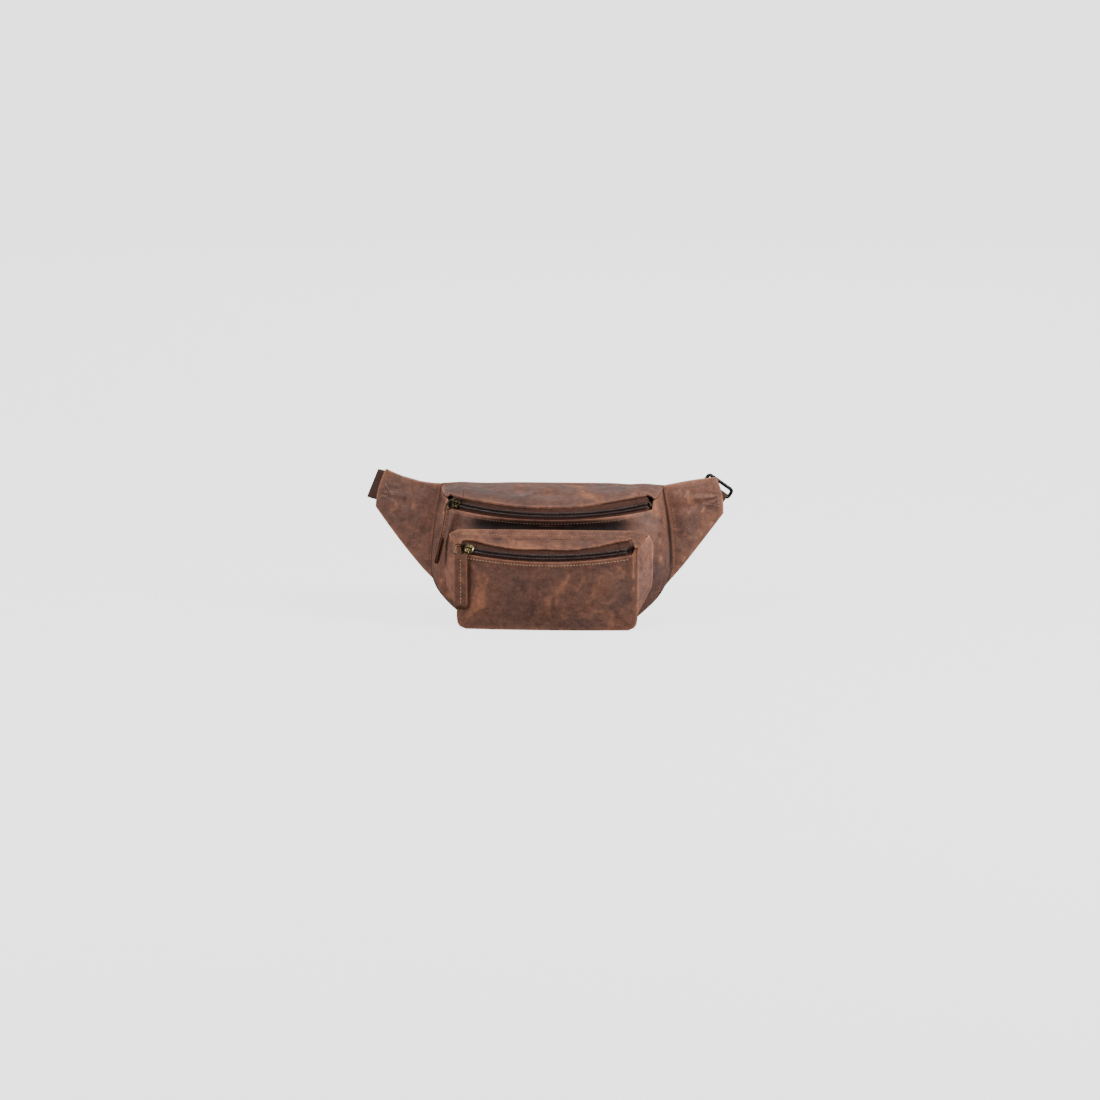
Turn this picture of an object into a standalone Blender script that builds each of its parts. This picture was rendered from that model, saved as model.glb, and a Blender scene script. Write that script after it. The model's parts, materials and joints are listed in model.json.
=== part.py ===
"""Leather waist pack with a main compartment, a front pocket, two wings and a webbing belt.

Metres. +X is the viewer's right, the front faces -Y, +Z is up and the base stands on z = 0.
"""
import math

import bmesh
import bpy
from mathutils import Matrix, Vector

GAP = 0.0003            # clearance between two pieces that touch
LEATHER = 0.0018        # thickness of the body and pocket leather
WING_LEATHER = 0.0015   # thickness of each wing layer
LINING = 0.0006
TAPE = 0.0006
WEBBING = 0.0012

# Main body. The section at any height is a half rounded box, open at the back.
BACK_Y = 0.045          # outer face of the back panel
FRONT_Y = -0.0245       # front wall
SIDE_Y = BACK_Y - LEATHER - 2 * GAP
WIDEST = 0.1184         # half width where the body is widest
WIDEST_Z = 0.049
BASE_HALF = 0.0845      # half width at the base
BASE_TAPER = 1.7        # how straight the sides run in towards the base
WALL_LEAN = 5           # how late the front wall leans in to meet the zip
TOP_HALF = 0.1090       # half width at the top seam
TOP_EDGE = TOP_HALF + 0.0005
SLOT_END = 0.1005       # half length of the slot that shows the main zip

# Front pocket.
POCKET_HALF = 0.0890
POCKET_FACE_Y = -0.0545
POCKET_FLARE = 0.1025   # half width where the pocket meets the body
SEWN = 0.0032           # room left where the pocket's edge follows the curved body
POCKET_SAG = 0.0082     # how far the face curves back towards its sides

# Wings: the top and bottom corners of each tip, seen from the front.
WING_Y = 0.0395         # front face of a wing at its seam
WING_SWEEP = 0.42       # how fast a wing runs back towards its tip
LEFT_TIP = ((-0.1670, 0.1390), (-0.1775, 0.1010))
RIGHT_TIP = ((0.1612, 0.1345), (0.1680, 0.0980))
LEFT_SAG = 0.0035       # how far the top edge of a wing sags between seam and tip
RIGHT_SAG = -0.0010
TIP_BULGE = 0.0022      # how far the end of a wing bows outwards
SEAM_BOTTOM_Z = 0.0220
WING_DEPTH = 0.0040     # both layers of a wing, measured straight back

# Belt.
BELT_WIDTH = 0.0290
BELT_Z = 0.1100         # height of its centre line behind the bag
BELT_LAYERS = (0.0480, 0.0522, 0.0564, 0.0606)      # Y of each layer behind the bag
HOOK_X = 0.0475
HOOK_Y = (BELT_LAYERS[2] + BELT_LAYERS[3]) / 2
HOOK_WIRE = 0.0015

# Zip teeth and pulls.
TEETH = (0.0005, 0.0029)        # from the middle of the zip to the outside of the teeth
TEETH_FACE = (0.0007, 0.0025)   # how far the teeth stand off the tape
LOOP_WIRE = 0.0006
LOOP_TOP = 0.0040               # how far the loop stands over the bridge
LOOP_DROP = 0.0065              # and under it


class Zip:
    """A zip that follows one flat circular arc, with the slider turning about the arc's centre.

    Points are given by the angle round the arc, `out` from the arc and `up` along its axis.
    `lean` turns the tape out of the arc's plane.
    """

    def __init__(self, half, end_yz, mid_yz, lean_deg):
        middle = Vector((0, *mid_yz))
        drop = middle - Vector((0, *end_yz))
        self.radius = (half**2 + drop.length_squared) / (2 * drop.length)
        self.forward = drop.normalized()
        self.centre = middle - self.radius * self.forward
        self.up = self.forward.cross(Vector((1, 0, 0)))
        lean = math.radians(lean_deg)
        self.along_tape = (-math.sin(lean), math.cos(lean))
        self.off_tape = (math.cos(lean), math.sin(lean))

    def angle(self, x, out=0.0):
        return math.asin(x / (self.radius + out))

    def point(self, turn, out=0.0, up=0.0):
        radial = self.forward * math.cos(turn) + Vector((1, 0, 0)) * math.sin(turn)
        return self.centre + (self.radius + out) * radial + up * self.up

    def tape(self, across, proud=0.0):
        """(out, up) of a point `across` the tape from the teeth and `proud` of its face."""
        return tuple(across * a + proud * p for a, p in zip(self.along_tape, self.off_tape))

    def flat(self, x, ahead, up):
        """A point in a plane parallel to the arc, `ahead` of the arc's centre."""
        return self.centre + Vector((x, 0, 0)) + ahead * self.forward + up * self.up


MAIN = Zip(0.100, (0.0100, 0.1155), (-0.0200, 0.1083), 45)
POCKET = Zip(0.084, (-0.0415, 0.0782), (-0.0500, 0.0715), 72)

MAIN_LIP_HALF = 0.0865      # half width of the part of the top that lifts
MAIN_HINGE_AHEAD = 0.1380   # how far ahead of the arc's centre the top bends
TOP_UP = 0.0076             # height of the top's outer face over the arc's plane
MAIN_EDGE_OUT = -0.0042     # where the top's edge stops short of the teeth
POCKET_LIP_HALF = 0.0715
POCKET_HINGE_AHEAD = 0.3125
POCKET_EDGE_OUT = -0.0065
POCKET_UP = 0.0049


# Small helpers ------------------------------------------------------------------------------

def start():
    for old in list(bpy.data.objects):
        bpy.data.objects.remove(old)


def collection(name):
    made = bpy.data.collections.new(name)
    bpy.context.scene.collection.children.link(made)
    return made


def material(name, colour, metal=0.0, rough=0.6):
    made = bpy.data.materials.new(name)
    made.use_nodes = True
    shader = made.node_tree.nodes["Principled BSDF"]
    shader.inputs["Base Color"].default_value = (*colour, 1.0)
    shader.inputs["Metallic"].default_value = metal
    shader.inputs["Roughness"].default_value = rough
    return made


start()
PACK = collection("waist_pack")
CUTTERS = collection("cutters")
LEATHER_BROWN = material("leather", (0.21, 0.10, 0.07))
PULLER_LEATHER = material("puller_leather", (0.16, 0.08, 0.05))
LINING_CLOTH = material("lining", (0.10, 0.08, 0.06))
ZIP_TAPE = material("zip_tape", (0.09, 0.035, 0.022))
ZIP_COIL = material("zip_coil", (0.03, 0.015, 0.012), rough=0.4)
BRASS = material("antique_brass", (0.24, 0.19, 0.10), metal=1.0, rough=0.4)
DARK_METAL = material("dark_metal", (0.03, 0.03, 0.03), metal=1.0, rough=0.35)
BELT_WEBBING = material("webbing", (0.06, 0.035, 0.025))


def clamp(value, low=-1.0, high=1.0):
    return max(low, min(high, value))


def steps(count, first=0.0, last=1.0):
    return [first + (last - first) * i / (count - 1) for i in range(count)]


def mix(a, b, t):
    return a + (b - a) * t


def add(name, mesh, slot, smooth=True):
    thing = bpy.data.objects.new(name, mesh)
    mesh.materials.append(slot)
    for face in mesh.polygons:
        face.use_smooth = smooth
    PACK.objects.link(thing)
    return thing


def sheet(name, rows, thickness, slot, offset=-1.0):
    """A thin sheet over a grid of points. The outer face has rows running up to its left."""
    width = len(rows[0])
    points = [p for row in rows for p in row]
    faces = [
        (r * width + c, r * width + c + 1, (r + 1) * width + c + 1, (r + 1) * width + c)
        for r in range(len(rows) - 1)
        for c in range(width - 1)
    ]
    mesh = bpy.data.meshes.new(name)
    mesh.from_pydata(points, [], faces)
    thing = add(name, mesh, slot)
    shell = thing.modifiers.new("thickness", "SOLIDIFY")
    shell.thickness = thickness
    shell.offset = offset
    shell.use_even_offset = True
    return thing


def plate(name, outline, thickness, slot):
    """A flat plate: `outline` is its outer face and the thickness goes in behind it."""
    mesh = bpy.data.meshes.new(name)
    mesh.from_pydata(outline, [], [tuple(range(len(outline)))])
    thing = add(name, mesh, slot, smooth=False)
    shell = thing.modifiers.new("thickness", "SOLIDIFY")
    shell.thickness = thickness
    shell.offset = -1.0
    return thing


def box_mesh(name, size, place=(0, 0, 0)):
    mesh = bpy.data.meshes.new(name)
    made = bmesh.new()
    bmesh.ops.create_cube(made, size=1.0)
    bmesh.ops.scale(made, vec=size, verts=made.verts)
    bmesh.ops.translate(made, vec=place, verts=made.verts)
    made.to_mesh(mesh)
    made.free()
    return mesh


def tube(name, points, radius, slot, closed):
    """Round wire along straight runs between the points."""
    curve = bpy.data.curves.new(name, "CURVE")
    curve.dimensions = "3D"
    curve.bevel_depth = radius
    curve.bevel_resolution = 1
    curve.use_fill_caps = not closed
    run = curve.splines.new("POLY")
    run.points.add(len(points) - 1)
    for spot, p in zip(run.points, points):
        spot.co = (*p, 1.0)
    run.use_cyclic_u = closed
    thing = bpy.data.objects.new(name, curve)
    curve.materials.append(slot)
    PACK.objects.link(thing)
    return thing


def tidy(mesh):
    """Merge double points and turn every face outwards."""
    made = bmesh.new()
    made.from_mesh(mesh)
    bmesh.ops.remove_doubles(made, verts=made.verts, dist=1e-6)
    bmesh.ops.recalc_face_normals(made, faces=made.faces)
    made.to_mesh(mesh)
    made.free()


def set_origin(thing, place):
    """Move the object's origin to `place` and leave its shape where it is."""
    thing.data.transform(Matrix.Translation(-Vector(place)))
    thing.location = place


def frame_matrix(origin, x_axis, y_axis, z_axis):
    turn = Matrix((x_axis, y_axis, z_axis)).transposed().to_4x4()
    return Matrix.Translation(origin) @ turn


# The body's shape ----------------------------------------------------------------------------

def half_width(z):
    if z < WIDEST_Z:
        low = 1 - (z / WIDEST_Z)
        return WIDEST - (WIDEST - BASE_HALF) * low**BASE_TAPER
    high = (z - WIDEST_Z) / (0.128 - WIDEST_Z)
    return WIDEST - (WIDEST - TOP_HALF) * high**2


def section(z, turn, inset=0.0):
    """Point on the body's section. turn runs from 0 at the left side to pi at the right."""
    side = (half_width(z) - inset) * math.copysign(abs(math.cos(turn)) ** 0.5, math.cos(turn))
    depth = (SIDE_Y - FRONT_Y - inset) * max(math.sin(turn), 0.0) ** 0.5
    return Vector((-side, SIDE_Y - depth, z))


def section_y(x, z):
    """Y of the plain section's outline at x and z."""
    across = clamp(abs(x) / half_width(z), 0.0, 1.0)
    return SIDE_Y - (SIDE_Y - FRONT_Y) * (1 - across**4) ** 0.25


def top_height(y, up=TOP_UP):
    """Z of the plane of the top at y."""
    ahead = (MAIN.centre.y + up * MAIN.up.y - y) / -MAIN.forward.y
    return MAIN.flat(0, ahead, up).z


def side_top(x):
    """Y of the side's top edge, from the end of the zip round to the back."""
    share = clamp((abs(x) - SLOT_END) / (TOP_EDGE - SLOT_END), 0.0, 1.0)
    return mix(0.006, SIDE_Y, 1 - math.sqrt(1 - share**2))


def wall_top(x):
    """Top edge of the front wall: below the zip in front, under the top plate at the sides."""
    if abs(x) <= SLOT_END:
        out, up = MAIN.tape(-0.0062, 0.0026)
        return MAIN.point(MAIN.angle(x, out), out, up)
    y = side_top(x)
    return Vector((x, y, top_height(y) - LEATHER - 2 * GAP))


def front_y(x, z):
    """Y of the body's front wall at x and z, with its lean towards the zip."""
    top = wall_top(x)
    return section_y(x, z) + (top.y - section_y(x, top.z)) * clamp(z / top.z) ** WALL_LEAN


def section_turns():
    """Turns for the columns of the body, two of them at each end of the zip's slot."""
    left = [0.0, 0.02, 0.06, 0.12, 0.20, 0.30, 0.38]
    left += [math.acos((x / TOP_EDGE) ** 2) for x in (0.1025, SLOT_END, *steps(9, 0.092, 0.012))]
    return left + [math.pi / 2] + [math.pi - t for t in reversed(left)]


# Body pieces ---------------------------------------------------------------------------------

def body_wall():
    turns = section_turns()
    rows = []
    for share in (0, 0.06, 0.13, 0.22, 0.33, 0.45, 0.58, 0.70, 0.80, 0.88, 0.94, 1.0):
        row = []
        for turn in turns:
            side = math.copysign(abs(math.cos(turn)) ** 0.5, math.cos(turn))
            top = wall_top(-TOP_EDGE * side)
            lean = top - section(top.z, turn)
            row.append(section(share * top.z, turn) + lean * share**WALL_LEAN)
        rows.append(row)
    sheet("body_wall", rows, LEATHER, LEATHER_BROWN)


def back_panel():
    top = top_height(BACK_Y - LEATHER) - LEATHER - 2 * GAP
    right = [(half_width(z) - 0.0002, z) for z in steps(12, 0.0, top)]
    outline = [Vector((x, BACK_Y, z)) for x, z in reversed(right)]
    outline += [Vector((-x, BACK_Y, z)) for x, z in right]
    plate("back_panel", outline, LEATHER, LEATHER_BROWN)


def base_panel():
    edge = [section(0, math.pi * t, LEATHER + 2 * GAP) for t in steps(25)]
    for p in edge:
        p.y = min(p.y, SIDE_Y - GAP)
    plate("base_panel", list(reversed(edge)), LEATHER, LEATHER_BROWN)


def top_plate():
    """The fixed rear part of the top, with two ears that run round the ends of the zip."""
    def at(x, y):
        ahead = (MAIN.centre.y + TOP_UP * MAIN.up.y - y) / -MAIN.forward.y
        return MAIN.flat(x, ahead, TOP_UP)

    edge = MAIN.radius + MAIN_EDGE_OUT
    inner = MAIN_LIP_HALF + GAP
    right = [MAIN.flat(inner, MAIN_HINGE_AHEAD - GAP, TOP_UP)]
    for x in (inner, 0.092, 0.0965, 0.0995):
        right.append(MAIN.flat(x, math.sqrt(edge**2 - x**2), TOP_UP))
    right.append(MAIN.flat(0.1015, 0.1465, TOP_UP))
    for x in (0.1030, 0.1055, 0.1075, 0.1090, TOP_EDGE):
        right.append(at(x, side_top(x)))
    right.append(at(TOP_EDGE, BACK_Y))
    left = [Vector((-p.x, p.y, p.z)) for p in reversed(right)]
    plate("top_plate", right + left, LEATHER, LEATHER_BROWN)


def lining_pouch(name, rings, slot):
    """An open pouch lofted through closed rings, with a flat bottom."""
    count = len(rings[0])
    points = [p for ring in rings for p in ring]
    faces = [tuple(reversed(range(count)))]
    for r in range(len(rings) - 1):
        for c in range(count):
            n = (c + 1) % count
            faces.append((r * count + c, r * count + n, (r + 1) * count + n, (r + 1) * count + c))
    mesh = bpy.data.meshes.new(name)
    mesh.from_pydata(points, [], faces)
    thing = add(name, mesh, slot)
    shell = thing.modifiers.new("thickness", "SOLIDIFY")
    shell.thickness = LINING
    shell.offset = -1.0
    shell.use_even_offset = True
    return thing


def main_lining():
    rings = []
    for z, inset in ((0.0035, 0.018), (0.012, 0.0115), (0.024, 0.0075), (0.045, 0.0052),
                     (0.070, 0.0046), (0.093, 0.0080)):
        ring = [section(z, turn, inset) for turn in section_turns()]
        for p in ring:
            p.y = min(p.y, SIDE_Y - 0.002)
        rings.append(ring)
    lining_pouch("main_lining", rings, LINING_CLOTH)


# Zips ----------------------------------------------------------------------------------------

def band(zip_path, name, profile, low_x, high_x, thickness, slot, count=25):
    """A strip with the given (out, up) profile, swept along the zip."""
    rows = []
    for out, up in profile:
        turns = steps(count, zip_path.angle(low_x), zip_path.angle(high_x))
        rows.append([zip_path.point(t, out, up) for t in turns])
    return sheet(name, rows, thickness, slot, offset=0.0)


def coil(zip_path, name, near, far, low_x, high_x, count=25):
    """Half the teeth: a bar of square section standing on the face of the tape."""
    low, high = TEETH_FACE
    square = ((near, low), (far, low), (far, high), (near, high))
    corners = [zip_path.tape(across, proud) for across, proud in square]
    turns = steps(count, zip_path.angle(low_x), zip_path.angle(high_x))
    points = [zip_path.point(t, *c) for t in turns for c in corners]
    faces = [(0, 3, 2, 1), tuple(4 * (count - 1) + i for i in range(4))]
    for s in range(count - 1):
        for i in range(4):
            n = (i + 1) % 4
            faces.append((4 * s + i, 4 * s + n, 4 * s + 4 + n, 4 * s + 4 + i))
    mesh = bpy.data.meshes.new(name)
    mesh.from_pydata(points, [], faces)
    tidy(mesh)
    return add(name, mesh, ZIP_COIL, smooth=False)


def zip_set(zip_path, name, lip_half, tape_end, tuck, drop, edge):
    """Both tapes and both rows of teeth. `edge` is half the length of the tapes."""
    lower = [zip_path.tape(-0.0005), zip_path.tape(-0.0048), drop]
    upper = [zip_path.tape(0.0005), tape_end, tuck]
    band(zip_path, f"{name}_tape_lower", lower, -edge, edge, TAPE, ZIP_TAPE)
    band(zip_path, f"{name}_tape_upper", upper, -lip_half, lip_half, TAPE, ZIP_TAPE)
    for side, low, high in (("left", -edge, -lip_half - GAP), ("right", lip_half + GAP, edge)):
        band(zip_path, f"{name}_tape_{side}", upper, low, high, TAPE, ZIP_TAPE, 4)
    last = edge - 0.004
    near, far = TEETH
    coil(zip_path, f"{name}_teeth_lower", -near, -far, -last, last)
    coil(zip_path, f"{name}_teeth_upper", near, far, -lip_half, lip_half)


def end_stops(zip_path, name, x):
    for side, place in (("left", -x), ("right", x)):
        shape = box_mesh(f"{name}_stop_{side}", (0.0016, 0.0016, 0.0050), (0, 0.0016, 0))
        stop = add(f"{name}_stop_{side}", shape, BRASS, False)
        stop.matrix_world = slider_frame(zip_path, place)


def slider_frame(zip_path, x):
    """Matrix at the slider: X along the zip, Y out of the tape, Z across the tape."""
    turn = zip_path.angle(x)
    place = zip_path.point(turn)
    radial = zip_path.forward * math.cos(turn) + Vector((1, 0, 0)) * math.sin(turn)
    out = radial * zip_path.off_tape[0] + zip_path.up * zip_path.off_tape[1]
    across = radial * zip_path.along_tape[0] + zip_path.up * zip_path.along_tape[1]
    return frame_matrix(place, out.cross(across), out, across)


def joined_boxes(name, boxes, slot, place):
    """One solid from overlapping boxes given as (size, centre)."""
    first, *rest = boxes
    thing = add(name, box_mesh(name, *first), slot, smooth=False)
    thing.matrix_world = place
    for i, (size, centre) in enumerate(rest):
        other = bpy.data.objects.new(f"{name}_cut{i}", box_mesh(f"{name}_cut{i}", size, centre))
        CUTTERS.objects.link(other)
        other.matrix_world = place
        other.hide_render = True
        other.display_type = "WIRE"
        union = thing.modifiers.new(f"part{i}", "BOOLEAN")
        union.operation = "UNION"
        union.solver = "EXACT"
        union.object = other
    return thing


def slider(zip_path, name, x):
    """Front and back plates round the teeth, a post between them and a bridge for the loop."""
    place = slider_frame(zip_path, x)
    plates = [
        ((7.6e-3, 1.2e-3, 8.8e-3), (0, 3.6e-3, 0)),
        ((7.0e-3, 0.9e-3, 7.6e-3), (0, -1.2e-3, 0)),
        ((3.0e-3, 5.0e-3, 0.5e-3), (0, 1.2e-3, 0)),
        ((7.6e-3, 2.9e-3, 0.9e-3), (0, 2.5e-3, 3.95e-3)),
        ((7.6e-3, 2.9e-3, 0.9e-3), (0, 2.5e-3, -3.95e-3)),
        ((1.0e-3, 4.2e-3, 1.8e-3), (-2.1e-3, 6.0e-3, 0)),
        ((1.0e-3, 4.2e-3, 1.8e-3), (2.9e-3, 6.0e-3, 0)),
        ((6.0e-3, 1.0e-3, 1.8e-3), (0.4e-3, 8.0e-3, 0)),
    ]
    joined_boxes(name, plates, BRASS, place)
    return place @ Vector((-0.8e-3, 5.9e-3, 0)), (place.to_3x3() @ Vector((0, 0, 1)))


def pull_loop(name, hook, across, reach):
    """A wire frame whose near bar stands in the slider's bridge, reaching out by `reach`."""
    top, bottom = across * LOOP_TOP, -across * LOOP_DROP
    corners = [hook + top, hook + bottom, hook + bottom + reach, hook + top + reach]
    thing = solid(tube(name, corners, LOOP_WIRE, BRASS, True))
    set_origin(thing, hook)
    return hook + bottom


def solid(thing):
    """Turn a curve object into a mesh object of the same name and place."""
    shape = thing.evaluated_get(bpy.context.evaluated_depsgraph_get())
    mesh = bpy.data.meshes.new_from_object(shape)
    tidy(mesh)
    name = thing.name
    place = thing.matrix_world.copy()
    bpy.data.objects.remove(thing)
    fresh = bpy.data.objects.new(name, mesh)
    fresh.matrix_world = place
    PACK.objects.link(fresh)
    return fresh


def strap_box(name, top, bottom, width_axis, width, thickness, slot):
    """A flat leather strap between two points."""
    down = (bottom - top).normalized()
    wide = (width_axis - down * width_axis.dot(down)).normalized()
    thick = down.cross(wide)
    length = (bottom - top).length
    thing = add(name, box_mesh(name, (width, thickness, length)), slot, smooth=False)
    thing.matrix_world = frame_matrix((top + bottom) / 2, wide, thick, down)
    edge = thing.modifiers.new("edge", "BEVEL")
    edge.width = thickness * 0.25
    edge.segments = 1
    edge.limit_method = "ANGLE"
    return thing


def body_zip():
    tape_end, tuck, drop = (-0.0053, 0.0053), (-0.0120, 0.0052), (0.0047, -0.0103)
    zip_set(MAIN, "main", MAIN_LIP_HALF, tape_end, tuck, drop, 0.0990)
    end_stops(MAIN, "main", 0.0978)


def top_flap():
    """The front of the top: a half moon between the line it bends on and the zip."""
    edge = MAIN.radius + MAIN_EDGE_OUT
    xs = steps(17, -MAIN_LIP_HALF, MAIN_LIP_HALF)
    outline = [
        MAIN.flat(-MAIN_LIP_HALF, MAIN_HINGE_AHEAD, TOP_UP),
        *[MAIN.flat(x, math.sqrt(edge**2 - x**2), TOP_UP) for x in xs],
        MAIN.flat(MAIN_LIP_HALF, MAIN_HINGE_AHEAD, TOP_UP),
    ]
    plate("top_flap", outline, LEATHER, LEATHER_BROWN)


# Front pocket --------------------------------------------------------------------------------

def pocket_half(z):
    """Half width of the pocket's face, rounded at its bottom corners."""
    corner = 0.010
    low = clamp(1 - z / corner, 0.0, 1.0)
    return POCKET_HALF - 0.009 * (1 - math.sqrt(1 - low**2))


def pocket_y(x, z):
    return POCKET_FACE_Y + POCKET_SAG * (x / 0.080) ** 2 * (0.5 + 0.5 * z / 0.070)


def pocket_face_top(x):
    if abs(x) <= 0.0850:
        out, up = POCKET.tape(-0.0062, 0.0026)
        return POCKET.point(POCKET.angle(x, out), out, up)
    return POCKET.flat(x, 0.3195, POCKET_UP - LEATHER - 2 * GAP)


def pocket_face():
    xs = [-0.0890, -0.0878, -0.0866, *steps(17, -0.0850, 0.0850), 0.0866, 0.0878, 0.0890]
    rows = []
    for share in (0, 0.03, 0.07, 0.14, 0.3, 0.5, 0.7, 0.85, 0.93, 1.0):
        row = []
        for x in xs:
            top = pocket_face_top(x)
            z = share * top.z
            wide = x * pocket_half(z) / POCKET_HALF
            lean = top.y - pocket_y(x, top.z)
            row.append(Vector((wide, pocket_y(wide, z) + lean * share**WALL_LEAN, z)))
        rows.append(row)
    sheet("pocket_face", rows, LEATHER, LEATHER_BROWN)


def pocket_plane(x, y, up):
    ahead = (POCKET.centre.y + up * POCKET.up.y - y) / -POCKET.forward.y
    return POCKET.flat(x, ahead, up)


def pocket_top():
    """The sloping top of the pocket, sewn to the body, with ears round the zip's ends."""
    edge = POCKET.radius + POCKET_EDGE_OUT
    inner = POCKET_LIP_HALF + GAP
    right = [POCKET.flat(inner, POCKET_HINGE_AHEAD - GAP, POCKET_UP)]
    for x in (inner, 0.0780, 0.0845):
        right.append(POCKET.flat(x, math.sqrt(edge**2 - x**2), POCKET_UP))
    right.append(POCKET.flat(0.0862, 0.3205, POCKET_UP))
    right.append(POCKET.flat(0.0890, 0.3200, POCKET_UP))
    for x, y in ((0.0935, -0.0370), (0.0965, -0.0305), (0.0960, -0.0280), (0.0930, -0.0274)):
        right.append(pocket_plane(x, y, POCKET_UP))
    left = [Vector((-p.x, p.y, p.z)) for p in reversed(right)]
    plate("pocket_top", right + left, LEATHER, LEATHER_BROWN)


def pocket_lip():
    edge = POCKET.radius + POCKET_EDGE_OUT
    xs = steps(15, -POCKET_LIP_HALF, POCKET_LIP_HALF)
    outline = [
        POCKET.flat(-POCKET_LIP_HALF, POCKET_HINGE_AHEAD, POCKET_UP),
        *[POCKET.flat(x, math.sqrt(edge**2 - x**2), POCKET_UP) for x in xs],
        POCKET.flat(POCKET_LIP_HALF, POCKET_HINGE_AHEAD, POCKET_UP),
    ]
    plate("pocket_lip", outline, LEATHER, LEATHER_BROWN)


def gusset_back_x(z):
    low = clamp(1 - z / 0.045, 0.0, 1.0)
    high = clamp((z - 0.080) / 0.015, 0.0, 1.0)
    return POCKET_FLARE - 0.027 * low**BASE_TAPER - 0.007 * high**2


def pocket_gusset():
    """The band round the pocket's sides and bottom, from its face back to the body."""
    inset = 0.0012
    front, back = [], []
    for x in (0.0, 0.020, 0.040, 0.058, 0.070):
        front.append(Vector((x, pocket_y(x, 0) + LEATHER + 2 * GAP, 0)))
        far = x * 0.93
        back.append(Vector((far, front_y(far, 0) - SEWN, 0)))
    for z in (0.0, 0.0025, 0.006, 0.010, 0.020, 0.035, 0.050, 0.062, 0.070, 0.077):
        x = pocket_half(z) - inset
        top = pocket_face_top(0.089)
        lean = (top.y - pocket_y(x, top.z)) * clamp(z / top.z) ** WALL_LEAN
        front.append(Vector((x, pocket_y(x, z) + lean + LEATHER + 3 * GAP, z)))
        far = gusset_back_x(z * 1.06)
        back.append(Vector((far, front_y(far, z * 1.06) - SEWN, z * 1.06)))
    for x, y, z in ((0.0885, -0.0395, 0.085), (0.0915, -0.0350, 0.0885), (0.0938, -0.0305, 0.0915)):
        spot = pocket_plane(x, y, POCKET_UP - LEATHER - 3 * GAP)
        front.append(spot)
        far = gusset_back_x(z)
        back.append(Vector((far, front_y(far, z) - SEWN, z)))
    rows = []
    for share in steps(5):
        half = [f.lerp(b, share) for f, b in zip(front, back)]
        for i, p in enumerate(half):
            if p.z > 0:
                p.x += 0.0015 * math.sin(math.pi * share) * clamp(p.z / 0.03, 0, 1)
        rows.append(list(reversed(half)) + [Vector((-p.x, p.y, p.z)) for p in half[1:]])
    sheet("pocket_gusset", rows, LEATHER, LEATHER_BROWN)


def pocket_lining():
    rings = []
    for z, half, deep in ((0.004, 0.070, 0.007), (0.010, 0.077, 0.009), (0.040, 0.080, 0.010),
                          (0.058, 0.080, 0.010)):
        ring = []
        for i in range(28):
            turn = 2 * math.pi * i / 28
            x = half * math.copysign(abs(math.cos(turn)) ** 0.5, math.cos(turn))
            y = deep * math.copysign(abs(math.sin(turn)) ** 0.7, math.sin(turn))
            ring.append(Vector((x, -0.0365 + y, z)))
        rings.append(ring)
    lining_pouch("pocket_lining", rings, LINING_CLOTH)


def pocket_zip():
    tape_end, tuck, drop = (-0.0071, 0.0023), (-0.0120, 0.0023), (0.0064, -0.0072)
    zip_set(POCKET, "pocket", POCKET_LIP_HALF, tape_end, tuck, drop, 0.0825)
    end_stops(POCKET, "pocket", 0.0815)


# Wings, belt and hardware --------------------------------------------------------------------

def wing_front(x):
    return WING_Y + WING_SWEEP * (abs(x) - 0.110)


def wing_rear(x):
    return wing_front(x) + WING_DEPTH


def wing_point(tip, side, sag, out, high):
    """Point on a wing's front face. out: seam 0 to tip 1. high: bottom 0 to top 1."""
    z = mix(SEAM_BOTTOM_Z, 0.1290, high)
    inner = Vector((side * (half_width(z) + 0.0016), 0, z))
    top, bottom = tip
    outer = Vector((mix(bottom[0], top[0], high), 0, mix(bottom[1], top[1], high)))
    outer.x += side * TIP_BULGE * math.sin(math.pi * high)
    p = inner.lerp(outer, out)
    p.y = wing_front(p.x) - 0.0015 * math.sin(math.pi * out) * math.sin(math.pi * high)
    p.z -= sag * math.sin(math.pi * out) * high**4
    return p


def wing(name, tip, side, sag):
    outs = steps(8) if side > 0 else list(reversed(steps(8)))
    rows = [[wing_point(tip, side, sag, out, high) for out in outs] for high in steps(11)]
    sheet(f"{name}_front", rows, WING_LEATHER, LEATHER_BROWN)
    behind = Vector((0, WING_DEPTH / 2, 0))
    back_rows = [[p + behind for p in row] for row in rows]
    sheet(f"{name}_back", back_rows, WING_LEATHER, LEATHER_BROWN)


def strap_left():
    """Webbing sewn behind the left tip: out past the edge, folded, and back to the seam."""
    rows = []
    for fold_x, sewn_x, tip_z, seam_z in (
        (-0.1860, -0.162, 0.1085, BELT_Z - BELT_WIDTH / 2),
        (-0.1745, -0.151, 0.1370, BELT_Z + BELT_WIDTH / 2),
    ):
        row = []
        for x, behind in (
            (sewn_x, 0.0013),
            (fold_x + 0.005, 0.0013),
            (fold_x + 0.0012, 0.0020),
            (fold_x, 0.0034),
            (fold_x + 0.0012, 0.0048),
            (fold_x + 0.005, 0.0055),
            (fold_x + 0.020, 0.0055),
            (-0.135, 0.0055),
            (-0.1132, 0.0050),
        ):
            share = clamp((x + 0.1132) / (fold_x + 0.1132), 0.0, 1.0)
            row.append(Vector((x, wing_rear(x) + behind, mix(seam_z, tip_z, share))))
        rows.append(row)
    sheet("strap_left", rows, WEBBING, BELT_WEBBING, offset=0.0)


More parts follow.
